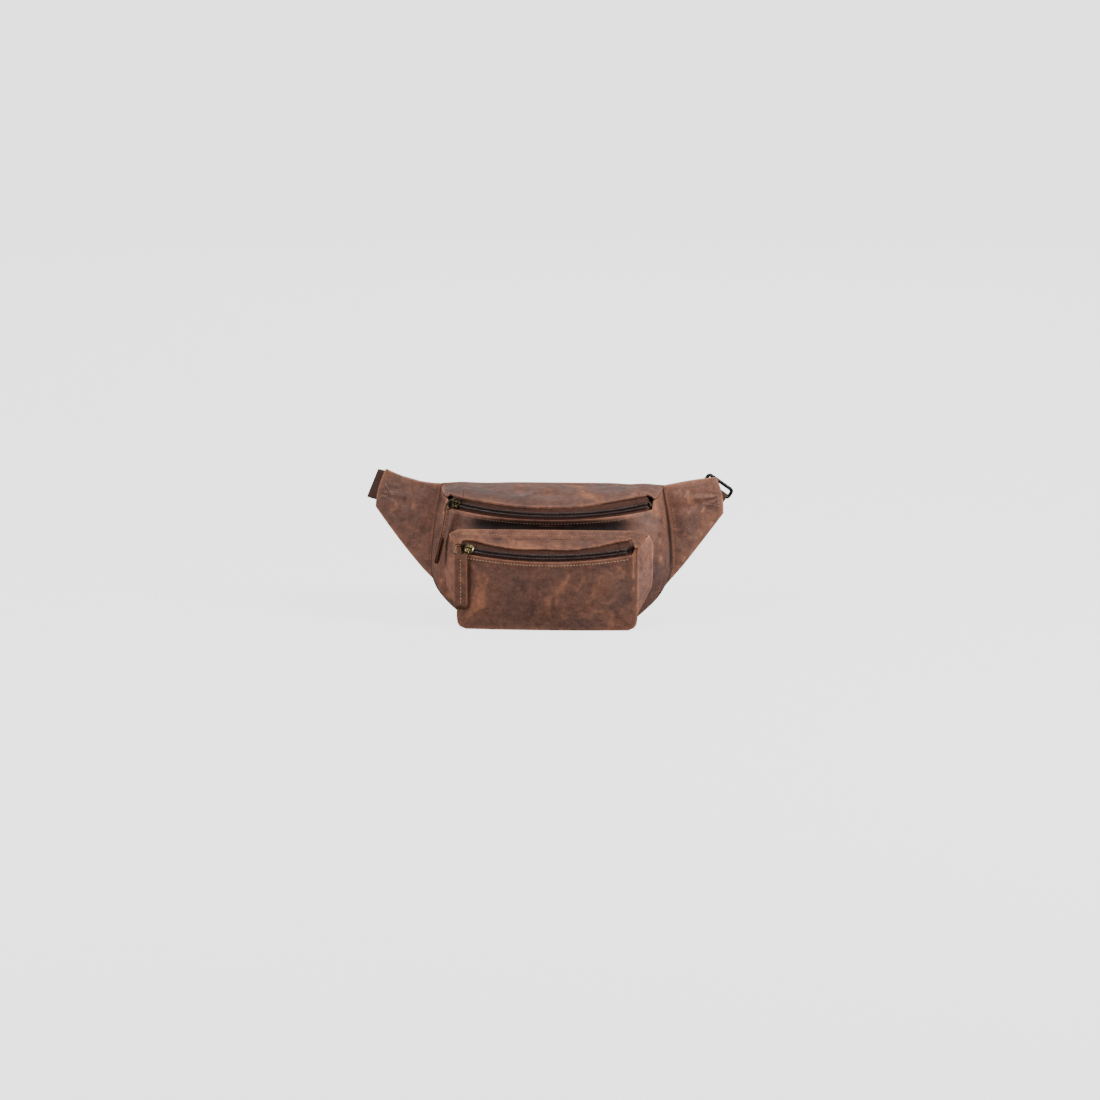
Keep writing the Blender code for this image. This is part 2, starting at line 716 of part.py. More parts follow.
def belt():
    """The long strap, folded flat in layers behind the bag and turned round the hook's bar."""
    first, second, third, tail = BELT_LAYERS
    spots = [(-0.1115, first), (-0.060, first), (0.0, first), (0.060, first)]
    spots += turn_points(0.088, first, second, 1)
    spots += [(0.040, second), (-0.040, second)]
    spots += turn_points(-0.088, second, third, -1)
    spots += [(-0.040, third), (0.020, third)]
    spots += turn_points(HOOK_X, third, tail, 1)
    spots += [(0.020, tail), (-0.022, tail)]
    low, high = BELT_Z - BELT_WIDTH / 2, BELT_Z + BELT_WIDTH / 2
    rows = [[Vector((x, y, z)) for x, y in spots] for z in (low, high)]
    sheet("belt_strap", rows, WEBBING, BELT_WEBBING, offset=0.0)


def turn_points(x, near, far, way):
    """A half circle in plan from one layer of the strap to the next."""
    radius = (far - near) / 2
    middle = (near + far) / 2
    return [
        (x + way * radius * math.cos(t), middle + radius * math.sin(t))
        for t in steps(7, -math.pi / 2, math.pi / 2)
    ]


def keeper():
    """A webbing loop that holds the strap's tail against the strap."""
    low, high = BELT_Z - BELT_WIDTH / 2 - 0.0006, BELT_Z + BELT_WIDTH / 2 + 0.0006
    near, far = BELT_LAYERS[2] - 0.0012, BELT_LAYERS[3] + 0.0012
    ring = [(near, low), (near, high), (far, high), (far, low)]
    mesh = bpy.data.meshes.new("keeper")
    points = [Vector((x, y, z)) for x in (-0.0040, 0.0040) for y, z in ring]
    faces = [(i, i + 4, (i + 1) % 4 + 4, (i + 1) % 4) for i in range(4)]
    mesh.from_pydata(points, [], faces)
    thing = add("belt_keeper", mesh, BELT_WEBBING, smooth=False)
    shell = thing.modifiers.new("thickness", "SOLIDIFY")
    shell.thickness = 0.0008
    shell.offset = 1.0
    shell.use_even_offset = True
    set_origin(thing, (0.0, HOOK_Y, BELT_Z))


def hook():
    """Snap hook: a strap bar, a curved nose, and a gate that closes it."""
    x, y, z = HOOK_X, HOOK_Y, BELT_Z
    half = 0.0168
    neck = x + 0.0085
    frame = [(x, y, z - half), (neck, y, z - half), (neck, y, z + half), (x, y, z + half)]
    body = solid(tube("belt_hook", frame, 0.0012, DARK_METAL, True))
    reach = [(neck, y, z), (x + 0.014, y, z + 0.001)]
    for t in steps(5, math.pi, math.pi / 2):
        reach.append((x + 0.021 + 0.0065 * math.cos(t), y, z + 0.001 + 0.0075 * math.sin(t)))
    for t in steps(8, math.pi / 2, -math.pi / 2):
        reach.append((x + 0.029 + 0.0080 * math.cos(t), y, z + 0.0085 * math.sin(t)))
    reach.append((x + 0.0275, y, z - 0.0085))
    nose = solid(tube("hook_nose", reach, HOOK_WIRE, DARK_METAL, False))
    stub_line = [(neck, y, z), (x + 0.0135, y, z - 0.0075)]
    stub = solid(tube("hook_stub", stub_line, HOOK_WIRE, DARK_METAL, False))
    for i, other in enumerate((nose, stub)):
        PACK.objects.unlink(other)
        CUTTERS.objects.link(other)
        other.hide_render = True
        other.display_type = "WIRE"
        union = body.modifiers.new(f"part{i}", "BOOLEAN")
        union.operation = "UNION"
        union.solver = "EXACT"
        union.object = other
    set_origin(body, (x, y, z))
    gate_start = Vector((x + 0.0150, y, z - 0.0087))
    gate = add("hook_gate", box_mesh("hook_gate", (0.0100, 0.0022, 0.0018)), DARK_METAL, False)
    gate.data.transform(Matrix.Translation((0.0053, 0, 0)))
    gate.location = gate_start


def right_frame():
    """Axes of the hardware at the right tip: along the bar, along the tab, and backwards."""
    slope = math.atan(WING_SWEEP)
    outward = Vector((math.cos(slope), math.sin(slope), 0))
    back = Vector((-math.sin(slope), math.cos(slope), 0))
    tilt = math.radians(54)
    tab = outward * math.cos(tilt) + Vector((0, 0, 1)) * math.sin(tilt)
    bar = outward * math.sin(tilt) - Vector((0, 0, 1)) * math.cos(tilt)
    x = 0.1617
    pivot = Vector((x, wing_rear(x), 0.1205)) + back * 0.0042
    return pivot, bar, tab, back


def ring_and_tab():
    pivot, bar, tab, back = right_frame()
    rod = 0.0017
    half, deep, cut = 0.0152, 0.0092, 0.0016
    corners = [
        (-half, cut), (-half + cut, 0), (half - cut, 0), (half, cut),
        (half, deep - cut), (half - cut, deep), (-half + cut, deep), (-half, deep - cut),
    ]
    ring = tube("ring", [pivot + bar * b + tab * t for b, t in corners], rod, DARK_METAL, True)
    set_origin(solid(ring), pivot)
    wrap = rod + GAP + WEBBING / 2 + 0.0002
    path = [(-0.020, -wrap), (-0.010, -wrap)]
    path += [(wrap * math.sin(t), -wrap * math.cos(t)) for t in steps(7, 0, math.pi)]
    path += [(-0.010, wrap)]
    rows = [[pivot + bar * b + tab * t + back * n for t, n in path] for b in (-0.0128, 0.0128)]
    sheet("ring_tab", rows, WEBBING, BELT_WEBBING, offset=0.0)


# Zip pulls -----------------------------------------------------------------------------------

def main_pull():
    hook_at, across = slider(MAIN, "main_slider", -0.0925)
    reach = Vector((-0.38, -0.925, 0)) * 0.0175
    bar = pull_loop("main_loop", hook_at, across, reach)
    top = bar + reach * 0.66 - Vector((0, 0, 0.0016))
    strap_box("main_puller", top, Vector((-0.1078, -0.0245, 0.0600)),
              Vector((-0.20, -0.98, 0.0)), 0.0115, 0.0026, PULLER_LEATHER)


def pocket_pull():
    hook_at, across = slider(POCKET, "pocket_slider", -0.0765)
    reach = Vector((-0.9990, 0.0400, 0)) * 0.0142
    bar = pull_loop("pocket_loop", hook_at, across, reach)
    top = bar + reach * 0.50 - Vector((0, 0, 0.0014))
    strap_box("pocket_puller", top, top + Vector((0.0003, -0.0006, -0.0530)),
              Vector((1, 0, 0)), 0.0122, 0.0026, PULLER_LEATHER)


body_wall()
back_panel()
base_panel()
top_plate()
main_lining()
body_zip()
top_flap()
pocket_face()
pocket_top()
pocket_lip()
pocket_gusset()
pocket_lining()
pocket_zip()
wing("wing_left", LEFT_TIP, -1, LEFT_SAG)
wing("wing_right", RIGHT_TIP, 1, RIGHT_SAG)
strap_left()
belt()
keeper()
hook()
ring_and_tab()
main_pull()
pocket_pull()
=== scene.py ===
"""The leather waist pack's looks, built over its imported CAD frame. Metres, in the frame's axes."""
import json
import math

import bmesh
import bpy
import numpy as np
from mathutils import Matrix, Vector, noise
from mathutils.bvhtree import BVHTree
from mathutils.kdtree import KDTree


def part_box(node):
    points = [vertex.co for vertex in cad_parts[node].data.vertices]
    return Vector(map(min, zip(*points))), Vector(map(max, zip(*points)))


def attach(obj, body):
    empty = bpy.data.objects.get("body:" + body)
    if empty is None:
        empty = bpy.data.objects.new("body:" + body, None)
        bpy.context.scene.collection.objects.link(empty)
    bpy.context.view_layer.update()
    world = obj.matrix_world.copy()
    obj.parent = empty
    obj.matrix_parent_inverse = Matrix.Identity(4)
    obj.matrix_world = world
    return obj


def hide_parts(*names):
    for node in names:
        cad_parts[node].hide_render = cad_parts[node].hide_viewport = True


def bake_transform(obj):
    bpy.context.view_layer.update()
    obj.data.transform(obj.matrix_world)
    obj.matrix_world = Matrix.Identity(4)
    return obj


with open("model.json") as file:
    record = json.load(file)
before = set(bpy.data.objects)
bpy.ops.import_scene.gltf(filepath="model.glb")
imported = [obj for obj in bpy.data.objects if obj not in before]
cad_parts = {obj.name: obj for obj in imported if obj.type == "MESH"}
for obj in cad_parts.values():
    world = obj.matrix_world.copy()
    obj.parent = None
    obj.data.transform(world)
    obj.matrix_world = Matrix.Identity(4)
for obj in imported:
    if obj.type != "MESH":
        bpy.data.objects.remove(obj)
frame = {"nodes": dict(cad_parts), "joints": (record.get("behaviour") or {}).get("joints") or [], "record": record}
NODES = frame["nodes"]
JOINTS = {joint["name"]: joint for joint in frame["joints"]}
BODY_OF = {n: body for body, nodes in frame["record"]["behaviour"]["bodies"].items() for n in nodes}
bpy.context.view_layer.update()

MM = 0.001
SPACING = 2.4 * MM              # distance between the points of a leather skin
STITCH_PITCH = 3.1 * MM
STITCH_LENGTH = 2.3 * MM
STITCH_RADIUS = 0.36 * MM
TOOTH_PITCH = 1.35 * MM
RIM_ANGLE = math.radians(38)    # edges sharper than this are a skin's rims
SHARED_GAP = 0.9 * MM           # nearer than this, two joined skins share an edge
WEAR_REACH = 10 * MM            # how far in from a rim the leather is rubbed
WING_SWEEP = 0.42               # how fast a wing runs back towards its tip
LEFT_BULGE = 2.6 * MM
LEFT_DROOP = 4.2 * MM
RIGHT_DROOP = 0.8 * MM
COARSE = 3.5 * MM               # spacing for cloth and for leather that is mostly hidden
BACK_SAG = 2.0 * MM
WALL_DENT = 3.6 * MM            # how deep the wall sinks in between the zips
EAR_DROP = 3.2 * MM             # how far the pocket's top corners bend down
SEAM_PULL = 1.75 * MM           # how far a wing is drawn in to close its seam
SIDES = ((-1, "left"), (1, "right"))
JOIN_SHARE = 0.42               # how far each of two joined skins moves across their gap
CLOTH_SEED = 3.0
SLIDER_X = {"main": -0.0925, "pocket": -0.0765}
POCKET_TOP_HALF = 0.0925

FORWARD = (0, 1, 0)
BACKWARD = (0, -1, 0)
DOWN = (0, 0, -1)


# Small helpers ------------------------------------------------------------------------------

def clamp(value, low=0.0, high=1.0):
    return max(low, min(high, value))


def smooth(value):
    value = np.clip(value, 0.0, 1.0)
    return value * value * (3 - 2 * value)


def steps(count, first=0.0, last=1.0):
    return [first + (last - first) * i / (count - 1) for i in range(count)]


def unit_vector(direction):
    return np.array(direction, float) / np.linalg.norm(direction)


def toned(colour, share):
    return tuple(share * c for c in colour)


def add(name, data):
    thing = bpy.data.objects.new(name, data)
    bpy.context.scene.collection.objects.link(thing)
    return thing


def shade_smooth(mesh):
    for face in mesh.polygons:
        face.use_smooth = True


def new_object(name, mesh, body, paint, bend=None):
    """Puts a mesh in the scene on its body. Given a bend (body, body, start, end), it is left on no body with its
    transform baked; the bend's bodies and band are not used.
    """
    thing = add(name, mesh)
    mesh.materials.clear()
    mesh.materials.append(paint)
    shade_smooth(mesh)
    if bend:
        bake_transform(thing)
    else:
        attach(thing, body)
    return thing


def stand_in(name, mesh, node, paint, bend=None):
    """An object shown instead of one CAD solid, on that solid's body."""
    thing = new_object(name, mesh, BODY_OF[node], paint, bend)
    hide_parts(node)
    return thing


def mesh_from(name, points, faces):
    mesh = bpy.data.meshes.new(name)
    mesh.from_pydata([tuple(p) for p in points], [], faces)
    return mesh


def tube_faces(rings, sides, closed=False):
    """Faces of a tube whose points come in rings. An open tube has its two ends capped."""
    faces = []
    for r in range(rings if closed else rings - 1):
        nxt = (r + 1) % rings
        for s in range(sides):
            n = (s + 1) % sides
            faces.append((r * sides + s, r * sides + n, nxt * sides + n, nxt * sides + s))
    if not closed:
        faces.append(tuple(reversed(range(sides))))
        faces.append(tuple((rings - 1) * sides + s for s in range(sides)))
    return faces


def corners(mesh):
    found = np.empty(len(mesh.vertices) * 3)
    mesh.vertices.foreach_get("co", found)
    return found.reshape(-1, 3)


def put_corners(mesh, places):
    mesh.vertices.foreach_set("co", np.ascontiguousarray(places, dtype=np.float32).ravel())
    mesh.update()


def noise_field(places, scale, seed=0.0, octaves=2):
    """Smooth noise from about -1 to 1 at each place."""
    shift = Vector((seed, seed * 0.7, -seed))
    return np.array([noise.fractal(Vector(p) * scale + shift, 1.0, 2.0, octaves) for p in places])


# Materials ----------------------------------------------------------------------------------

class Paint:
    """Builds one node material. Each method adds a node and returns its output socket."""

    def __init__(self, name):
        self.material = bpy.data.materials.new(name)
        self.material.use_nodes = True
        self.tree = self.material.node_tree
        self.shader = self.tree.nodes["Principled BSDF"]
        self.coordinates = self.tree.nodes.new("ShaderNodeTexCoord").outputs["Object"]

    def link(self, source, target):
        if isinstance(source, (int, float)):
            target.default_value = source
        elif isinstance(source, tuple):
            target.default_value = (*source, 1.0)
        else:
            self.tree.links.new(source, target)

    def node(self, kind, **inputs):
        """A new shader node, its inputs set or linked by name."""
        made = self.tree.nodes.new("ShaderNode" + kind)
        for name, source in inputs.items():
            self.link(source, made.inputs[name])
        return made

    def stretched(self, scale):
        node = self.tree.nodes.new("ShaderNodeMapping")
        node.inputs["Scale"].default_value = scale
        self.link(self.coordinates, node.inputs["Vector"])
        return node.outputs["Vector"]

    def noise(self, scale, detail=3.0, rough=0.55, distortion=0.0, vector=None):
        node = self.node("TexNoise", Scale=scale, Detail=detail, Roughness=rough,
                         Distortion=distortion, Vector=vector or self.coordinates)
        return node.outputs["Fac"]

    def cells(self, scale, feature="F1", vector=None):
        node = self.tree.nodes.new("ShaderNodeTexVoronoi")
        node.feature = feature
        node.inputs["Scale"].default_value = scale
        self.link(vector or self.coordinates, node.inputs["Vector"])
        return node.outputs["Distance"]

    def wave(self, scale, direction, distortion=0.0):
        node = self.node("TexWave", Scale=scale, Distortion=distortion, Vector=self.coordinates)
        node.bands_direction = direction
        return node.outputs["Fac"]

    def ramp(self, source, *stops):
        """Colour ramp through (place, colour) stops, or (place, value) stops."""
        node = self.tree.nodes.new("ShaderNodeValToRGB")
        marks = node.color_ramp.elements
        while len(marks) < len(stops):
            marks.new(0.5)
        for mark, (place, colour) in zip(marks, stops):
            mark.position = place
            mark.color = (*colour, 1.0) if isinstance(colour, tuple) else (colour,) * 3 + (1.0,)
        self.link(source, node.inputs["Fac"])
        return node.outputs["Color"]

    def math(self, operation, a, b=0.0):
        node = self.tree.nodes.new("ShaderNodeMath")
        node.operation = operation
        self.link(a, node.inputs[0])
        self.link(b, node.inputs[1])
        return node.outputs["Value"]

    def blend(self, share, a, b, mode="MIX"):
        node = self.tree.nodes.new("ShaderNodeMix")
        node.data_type = "RGBA"
        node.blend_type = mode
        self.link(share, node.inputs[0])
        self.link(a, node.inputs[6])
        self.link(b, node.inputs[7])
        return node.outputs[2]

    def attribute(self, name):
        node = self.tree.nodes.new("ShaderNodeAttribute")
        node.attribute_name = name
        return node.outputs["Fac"]

    def warped(self, amount):
        """Object coordinates pushed about by a little noise, so that creases aren't straight."""
        push = self.node("TexNoise", Scale=260, Vector=self.coordinates)
        scaled = self.tree.nodes.new("ShaderNodeVectorMath")
        scaled.operation = "SCALE"
        scaled.inputs["Scale"].default_value = amount
        self.link(push.outputs["Color"], scaled.inputs[0])
        added = self.tree.nodes.new("ShaderNodeVectorMath")
        self.link(self.coordinates, added.inputs[0])
        self.link(scaled.outputs[0], added.inputs[1])
        return added.outputs[0]

    def bump(self, height, strength, distance):
        node = self.node("Bump", Strength=strength, Distance=distance, Height=height)
        self.link(node.outputs["Normal"], self.shader.inputs["Normal"])

    def set(self, **values):
        for name, value in values.items():
            self.link(value, self.shader.inputs[name.replace("_", " ")])
        return self.material


LEATHER_DARK = (0.050, 0.025, 0.021)
LEATHER_MID = (0.128, 0.056, 0.038)
LEATHER_TAN = (0.265, 0.108, 0.060)
LEATHER_GREY = (0.078, 0.046, 0.039)
# near-black colour of the painted shade in hollows and seam grooves
PAINTED_SHADE = (0.010, 0.0045, 0.0035)


def leather(name, lightness=1.0):
    """Waxed pull-up leather: grey-brown blotches over tan, fine grain, paler worn edges."""
    paint = Paint(name)
    tones = (LEATHER_DARK, LEATHER_MID, LEATHER_TAN, LEATHER_GREY)
    dark, mid, tan, grey = (toned(tone, lightness) for tone in tones)
    blotch = paint.noise(24, 5, 0.60, 0.9)
    colour = paint.ramp(blotch, (0.34, dark), (0.47, mid), (0.56, mid), (0.68, tan))
    cloud = paint.ramp(paint.noise(13, 4, 0.55, 0.8), (0.38, 0.0), (0.64, 0.60))
    colour = paint.blend(cloud, colour, grey)
    mottle = paint.ramp(paint.noise(190, 7, 0.82), (0.34, 0.62), (0.66, 1.36))
    colour = paint.blend(1.0, colour, mottle, "MULTIPLY")
    streak = paint.noise(1.0, 4, 0.6, 1.2, paint.stretched((75, 75, 170)))
    rubbed = paint.ramp(streak, (0.58, 0.0), (0.74, 0.30))
    colour = paint.blend(rubbed, colour, toned(tan, 1.25))
    wear = paint.ramp(paint.attribute("rim"), (0.0, 1.0), (0.18, 0.40), (0.55, 0.0))
    wear = paint.math("MULTIPLY", wear, paint.ramp(paint.noise(90, 3), (0.3, 0.12), (0.62, 0.72)))
    colour = paint.blend(wear, colour, toned(tan, 1.12))
    # painted shade: the leather goes near black where the painted-shade attribute marks a hollow or seam groove
    colour = paint.blend(paint.attribute("grime"), colour, PAINTED_SHADE)
    grain = paint.cells(780)
    crease = paint.cells(210, "DISTANCE_TO_EDGE", paint.warped(0.0016))
    crease = paint.ramp(crease, (0.0, 0.0), (0.09, 1.0))
    height = paint.math("ADD", paint.math("MULTIPLY", grain, 0.25), paint.math("MULTIPLY", crease, 0.16))
    height = paint.math("ADD", height, paint.math("MULTIPLY", paint.noise(120, 4, 0.6), 1.2))
    paint.bump(height, 0.42, 0.0010)
    rough = paint.ramp(blotch, (0.35, 0.52), (0.7, 0.68))
    return paint.set(Base_Color=colour, Roughness=rough, Specular_IOR_Level=0.20)


def woven(name, dark, light, scale):
    """Plain woven cloth: two crossed sets of threads."""
    paint = Paint(name)
    over = paint.wave(scale, "X", 0.3)
    under = paint.wave(scale, "Z", 0.3)
    weave = paint.math("MULTIPLY", over, under)
    fuzz = paint.noise(420, 3)
    colour = paint.blend(weave, dark, light)
    colour = paint.blend(1.0, colour, paint.ramp(fuzz, (0.3, 0.75), (0.7, 1.2)), "MULTIPLY")
    paint.bump(weave, 0.5, 0.0003)
    return paint.set(Base_Color=colour, Roughness=0.85, Specular_IOR_Level=0.2)


def webbing_paint():
    """Belt webbing: fine ribs across its length and darker selvedges."""
    paint = Paint("belt_webbing")
    ribs = paint.wave(260, "Z", 0.15)
    twill = paint.wave(420, "DIAGONAL", 0.4)
    weave = paint.math("ADD", paint.math("MULTIPLY", ribs, 0.7), paint.math("MULTIPLY", twill, 0.3))
    colour = paint.blend(weave, (0.032, 0.018, 0.013), (0.105, 0.052, 0.036))
    colour = paint.blend(1.0, colour, paint.ramp(paint.noise(60, 3), (0.3, 0.8), (0.7, 1.2)), "MULTIPLY")
    paint.bump(weave, 0.6, 0.0004)
    return paint.set(Base_Color=colour, Roughness=0.8, Specular_IOR_Level=0.25)


def plastic_coil():
    paint = Paint("zip_coil_nylon")
    colour = paint.ramp(paint.noise(300, 2), (0.3, (0.010, 0.006, 0.006)), (0.7, (0.030, 0.016, 0.014)))
    paint.bump(paint.noise(1500, 2), 0.15, 0.0001)
    return paint.set(Base_Color=colour, Roughness=0.34, Specular_IOR_Level=0.6)


def brass(name, brightness):
    """Antique brass: bright on the worn high parts, near black in the tarnish."""
    paint = Paint(name)
    tarnish = paint.noise(330, 4, 0.6)
    tones = ((0.075, 0.060, 0.035), (0.33, 0.26, 0.13), (0.62, 0.54, 0.32))
    dark, mid, bright = (toned(tone, brightness) for tone in tones)
    colour = paint.ramp(tarnish, (0.34, dark), (0.56, mid), (0.75, bright))
    paint.bump(paint.noise(900, 3), 0.12, 0.0002)
    rough = paint.ramp(tarnish, (0.35, 0.5), (0.7, 0.24))
    return paint.set(Base_Color=colour, Roughness=rough, Metallic=1.0)


def black_metal():
    paint = Paint("black_metal")
    worn = paint.noise(420, 4, 0.65)
    colour = paint.ramp(worn, (0.45, (0.010, 0.010, 0.011)), (0.8, (0.055, 0.052, 0.050)))
    paint.bump(paint.noise(1100, 3), 0.10, 0.0002)
    return paint.set(Base_Color=colour, Roughness=0.33, Metallic=0.75)


def thread(name, colour):
    paint = Paint(name)
    twist = paint.wave(1500, "DIAGONAL", 0.0)
    shade = paint.blend(twist, toned(colour, 0.65), colour)
    paint.bump(twist, 0.4, 0.0001)
    return paint.set(Base_Color=shade, Roughness=0.7)


LEATHER = leather("distressed_leather")
# The wall, wing and gusset copies are lighter as painted light: they are brightened to stand in for the light that
# falls more on these parts.
WALL_LEATHER_PAINTED_LIGHTER = leather("distressed_leather_wall", 1.35)
WING_LEATHER_PAINTED_LIGHTER = leather("distressed_leather_wings", 1.50)
GUSSET_LEATHER_PAINTED_LIGHTER = leather("distressed_leather_gusset", 2.1)
PULLER_LEATHER = leather("puller_leather_brown", 0.85)
LINING = woven("lining_cloth", (0.055, 0.043, 0.034), (0.120, 0.096, 0.075), 700)
TAPE = woven("zip_tape_cloth", (0.050, 0.021, 0.014), (0.105, 0.046, 0.032), 900)
WEBBING = webbing_paint()
COIL = plastic_coil()
BRASS = brass("antique_brass_worn", 0.85)
WIRE_BRASS = brass("antique_brass_wire", 0.45)
DARK_BRASS = brass("antique_brass_dark", 0.22)
BLACK = black_metal()
TAN_THREAD = thread("tan_thread", (0.36, 0.17, 0.085))
DULL_THREAD = thread("dull_thread", (0.20, 0.090, 0.050))
PALE_THREAD = thread("pale_thread", (0.50, 0.33, 0.20))
ZIP_THREAD = thread("zip_thread", (0.150, 0.090, 0.070))


# Skins: a CAD solid's copy with finer points, crowned between its seams -----------------------

def node_tree(node):
    """Search tree over one CAD solid."""
    mesh = NODES[node].data
    points = [v.co for v in mesh.vertices]
    return BVHTree.FromPolygons(points, [tuple(f.vertices) for f in mesh.polygons])


def fine_mesh(node, spacing, joined=(), rounds=14):
    """The node's mesh with edges under the spacing, smoothed everywhere but its rims.

    Returns the mesh and its rim points. Rims that meet a joined node are left out and drawn
    up to it, so that the two skins read as one piece of leather.
    """
    made = bmesh.new()
    made.from_mesh(NODES[node].data)
    weights = made.edges.layers.float.new("bevel_weight_edge")
    bmesh.ops.remove_doubles(made, verts=made.verts, dist=1e-6)
    for _ in range(12):
        long_edges = [e for e in made.edges if e.calc_length() > spacing]
        if not long_edges:
            break
        bmesh.ops.subdivide_edges(made, edges=long_edges, cuts=1)
        bmesh.ops.triangulate(made, faces=[f for f in made.faces if len(f.verts) > 3])
    sharp = [e for e in made.edges if e.calc_face_angle(0.0) > RIM_ANGLE]
    rim = {v for e in sharp for v in e.verts}
    inner = [v for v in made.verts if v not in rim]
    for _ in range(rounds):
        bmesh.ops.smooth_vert(made, verts=inner, factor=0.5,
                              use_axis_x=True, use_axis_y=True, use_axis_z=True)
    shared = draw_together(rim, [node_tree(other) for other in joined])
    for e in sharp:
        e[weights] = 0.0 if shared.issuperset(e.verts) else 1.0
    mesh = bpy.data.meshes.new(node + "_skin")
    made.to_mesh(mesh)
    places = [v.co.copy() for v in rim if v not in shared]
    made.free()
    return mesh, places


def draw_together(rim, trees):
    """Moves rim points that meet a neighbour most of the way across the gap, and returns them."""
    shared = set()
    for v in rim:
        for tree in trees:
            near = tree.find_nearest(v.co, SHARED_GAP)[0]
            if near is not None:
                v.co = v.co.lerp(near, JOIN_SHARE)
                shared.add(v)
                break
    return shared


def rim_distance(places, rim):
    tree = KDTree(len(rim))
    for i, spot in enumerate(rim):
        tree.insert(spot, i)
    tree.balance()
    return np.array([tree.find(Vector(p))[2] for p in places])


def put_attribute(mesh, name, values):
    worn = mesh.attributes.new(name, "FLOAT", "POINT")
    worn.data.foreach_set("value", np.asarray(values, dtype=np.float32))


def skin(node, out, crown=0.0, reach=0.020, wrinkle=0.35 * MM, seed=1.0, paint=None, shapes=(),
         shade=None, spacing=SPACING, joined=(), bend=None):
    """Leather over one CAD solid. `out` gives the outward direction at a point, or is one direction.

    `shapes` are functions that move the points, `shade` gives how much painted shade darkens each point,
    and `bend` is for leather that crosses a joint.
    """
    mesh, rim = fine_mesh(node, spacing, joined)
    for other in joined:
        rim += fine_mesh(other, spacing, [node], rounds=0)[1]
    places = corners(mesh)
    away = rim_distance(places, rim)
    if callable(out):
        normals = np.array([out(p) for p in places])
    else:
        normals = np.tile(unit_vector(out), (len(places), 1))
    creases = noise_field(places, 42, seed) + 0.6 * noise_field(places, 95, seed + 9)
    lift = crown * smooth(away / reach) + wrinkle * smooth(away / 0.006) * creases
    places = places + normals * lift[:, None]
    for shape in shapes:
        places = shape(places, away)
    put_corners(mesh, places)
    put_attribute(mesh, "rim", np.clip(away / WEAR_REACH, 0, 1))
    # painted shade for hollows and seams, kept as an attribute for the leather's colour
    if shade:
        put_attribute(mesh, "grime", shade(places))
    thing = new_object(node + "_skin", mesh, BODY_OF[node], paint or LEATHER, bend)
    edge = thing.modifiers.new("edge", "BEVEL")
    edge.width = 0.35 * MM
    edge.segments = 2
    edge.limit_method = "WEIGHT"
    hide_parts(node)
    return thing


def cloth_copy(node, paint, out, wrinkle, spacing=COARSE, bend=None):
    """A lining, tape or webbing solid with finer points and slight unevenness."""
    mesh, rim = fine_mesh(node, spacing, rounds=4)
    places = corners(mesh)
    away = rim_distance(places, rim)
    lift = wrinkle * noise_field(places, 60, CLOTH_SEED) * smooth(away / 0.004)
    put_corners(mesh, places + lift[:, None] * unit_vector(out))
    stand_in(node + "_cloth", mesh, node, paint, bend)


# Stitches -----------------------------------------------------------------------------------

def surface(*things):
    """Ray target over the given skins."""
    made = bmesh.new()
    for thing in things:
        made.from_mesh(thing.data)
    tree = BVHTree.FromBMesh(made)
    made.free()
    return tree


def project(tree, points, direction):
    """Each point dropped along the direction onto the surface, as (place, normal). Misses are left out."""
    toward = Vector(direction).normalized()
    found = []
    for p in points:
        place, normal, _, _ = tree.ray_cast(Vector(p) - toward * 0.2, toward)
        if place is not None:
            if normal.dot(toward) > 0:
                normal = -normal
            found.append((place, normal))
    return found


def resample(spots, pitch):
    """Points a pitch apart along a run of (place, normal)."""
    made = []
    carry = 0.0
    for (a, na), (b, nb) in zip(spots, spots[1:]):
        length = (b - a).length
        if length > 8 * MM or length < 1e-7:
            carry = 0.0
            continue
        along = (b - a) / length
        at = carry
        while at < length:
            made.append((a + along * at, na.lerp(nb, at / length).normalized(), along))
            at += pitch
        carry = at - length
    return made


def stitch_shape(sides=6, rings=5):
    """Unit stitch along X: fat in the middle, its ends turned down into the leather."""
    points = []
    for r in range(rings):
        t = -1 + 2 * r / (rings - 1)
        radius = math.sqrt(max(1 - t * t, 0.08))
        for s in range(sides):
            turn = 2 * math.pi * s / sides
            points.append((t, radius * math.cos(turn), radius * math.sin(turn) - 0.9 * t * t))
    return points, tube_faces(rings, sides)


def stitches(name, spots, body, paint=None, pitch=STITCH_PITCH, length=STITCH_LENGTH,
             radius=STITCH_RADIUS, slant=0.12, bend=None):
    """A row of stitches lying on the surface along the run of (place, normal)."""
    unit, unit_faces = stitch_shape()
    points, faces = [], []
    for place, normal, along in resample(spots, pitch):
        across = normal.cross(along).normalized()
        along = (along + slant * across).normalized()
        across = normal.cross(along).normalized()
        first = len(points)
        for x, y, z in unit:
            spot = place + along * (x * length / 2) + across * (y * radius)
            points.append(spot + normal * ((z + 0.35) * radius))
        faces += [tuple(first + i for i in face) for face in unit_faces]
    return new_object(name, mesh_from(name, points, faces), body, paint or TAN_THREAD, bend)


# Shapes that change a skin's points. Each gets the points and how far each is from a rim ------

def back_edge():
    """Heights and half widths of the back panel's outline, from the bottom up."""
    found = sorted({(round(v.co.z, 5), round(abs(v.co.x), 5)) for v in NODES["back_panel"].data.vertices})
    heights = np.array([z for z, _ in found])
    widths = np.array([x for _, x in found])
    return heights, widths


EDGE_HEIGHTS, EDGE_WIDTHS = back_edge()


def seam_half(z):
    """Half width of the body at the wing seams."""
    return np.interp(z, EDGE_HEIGHTS, EDGE_WIDTHS)


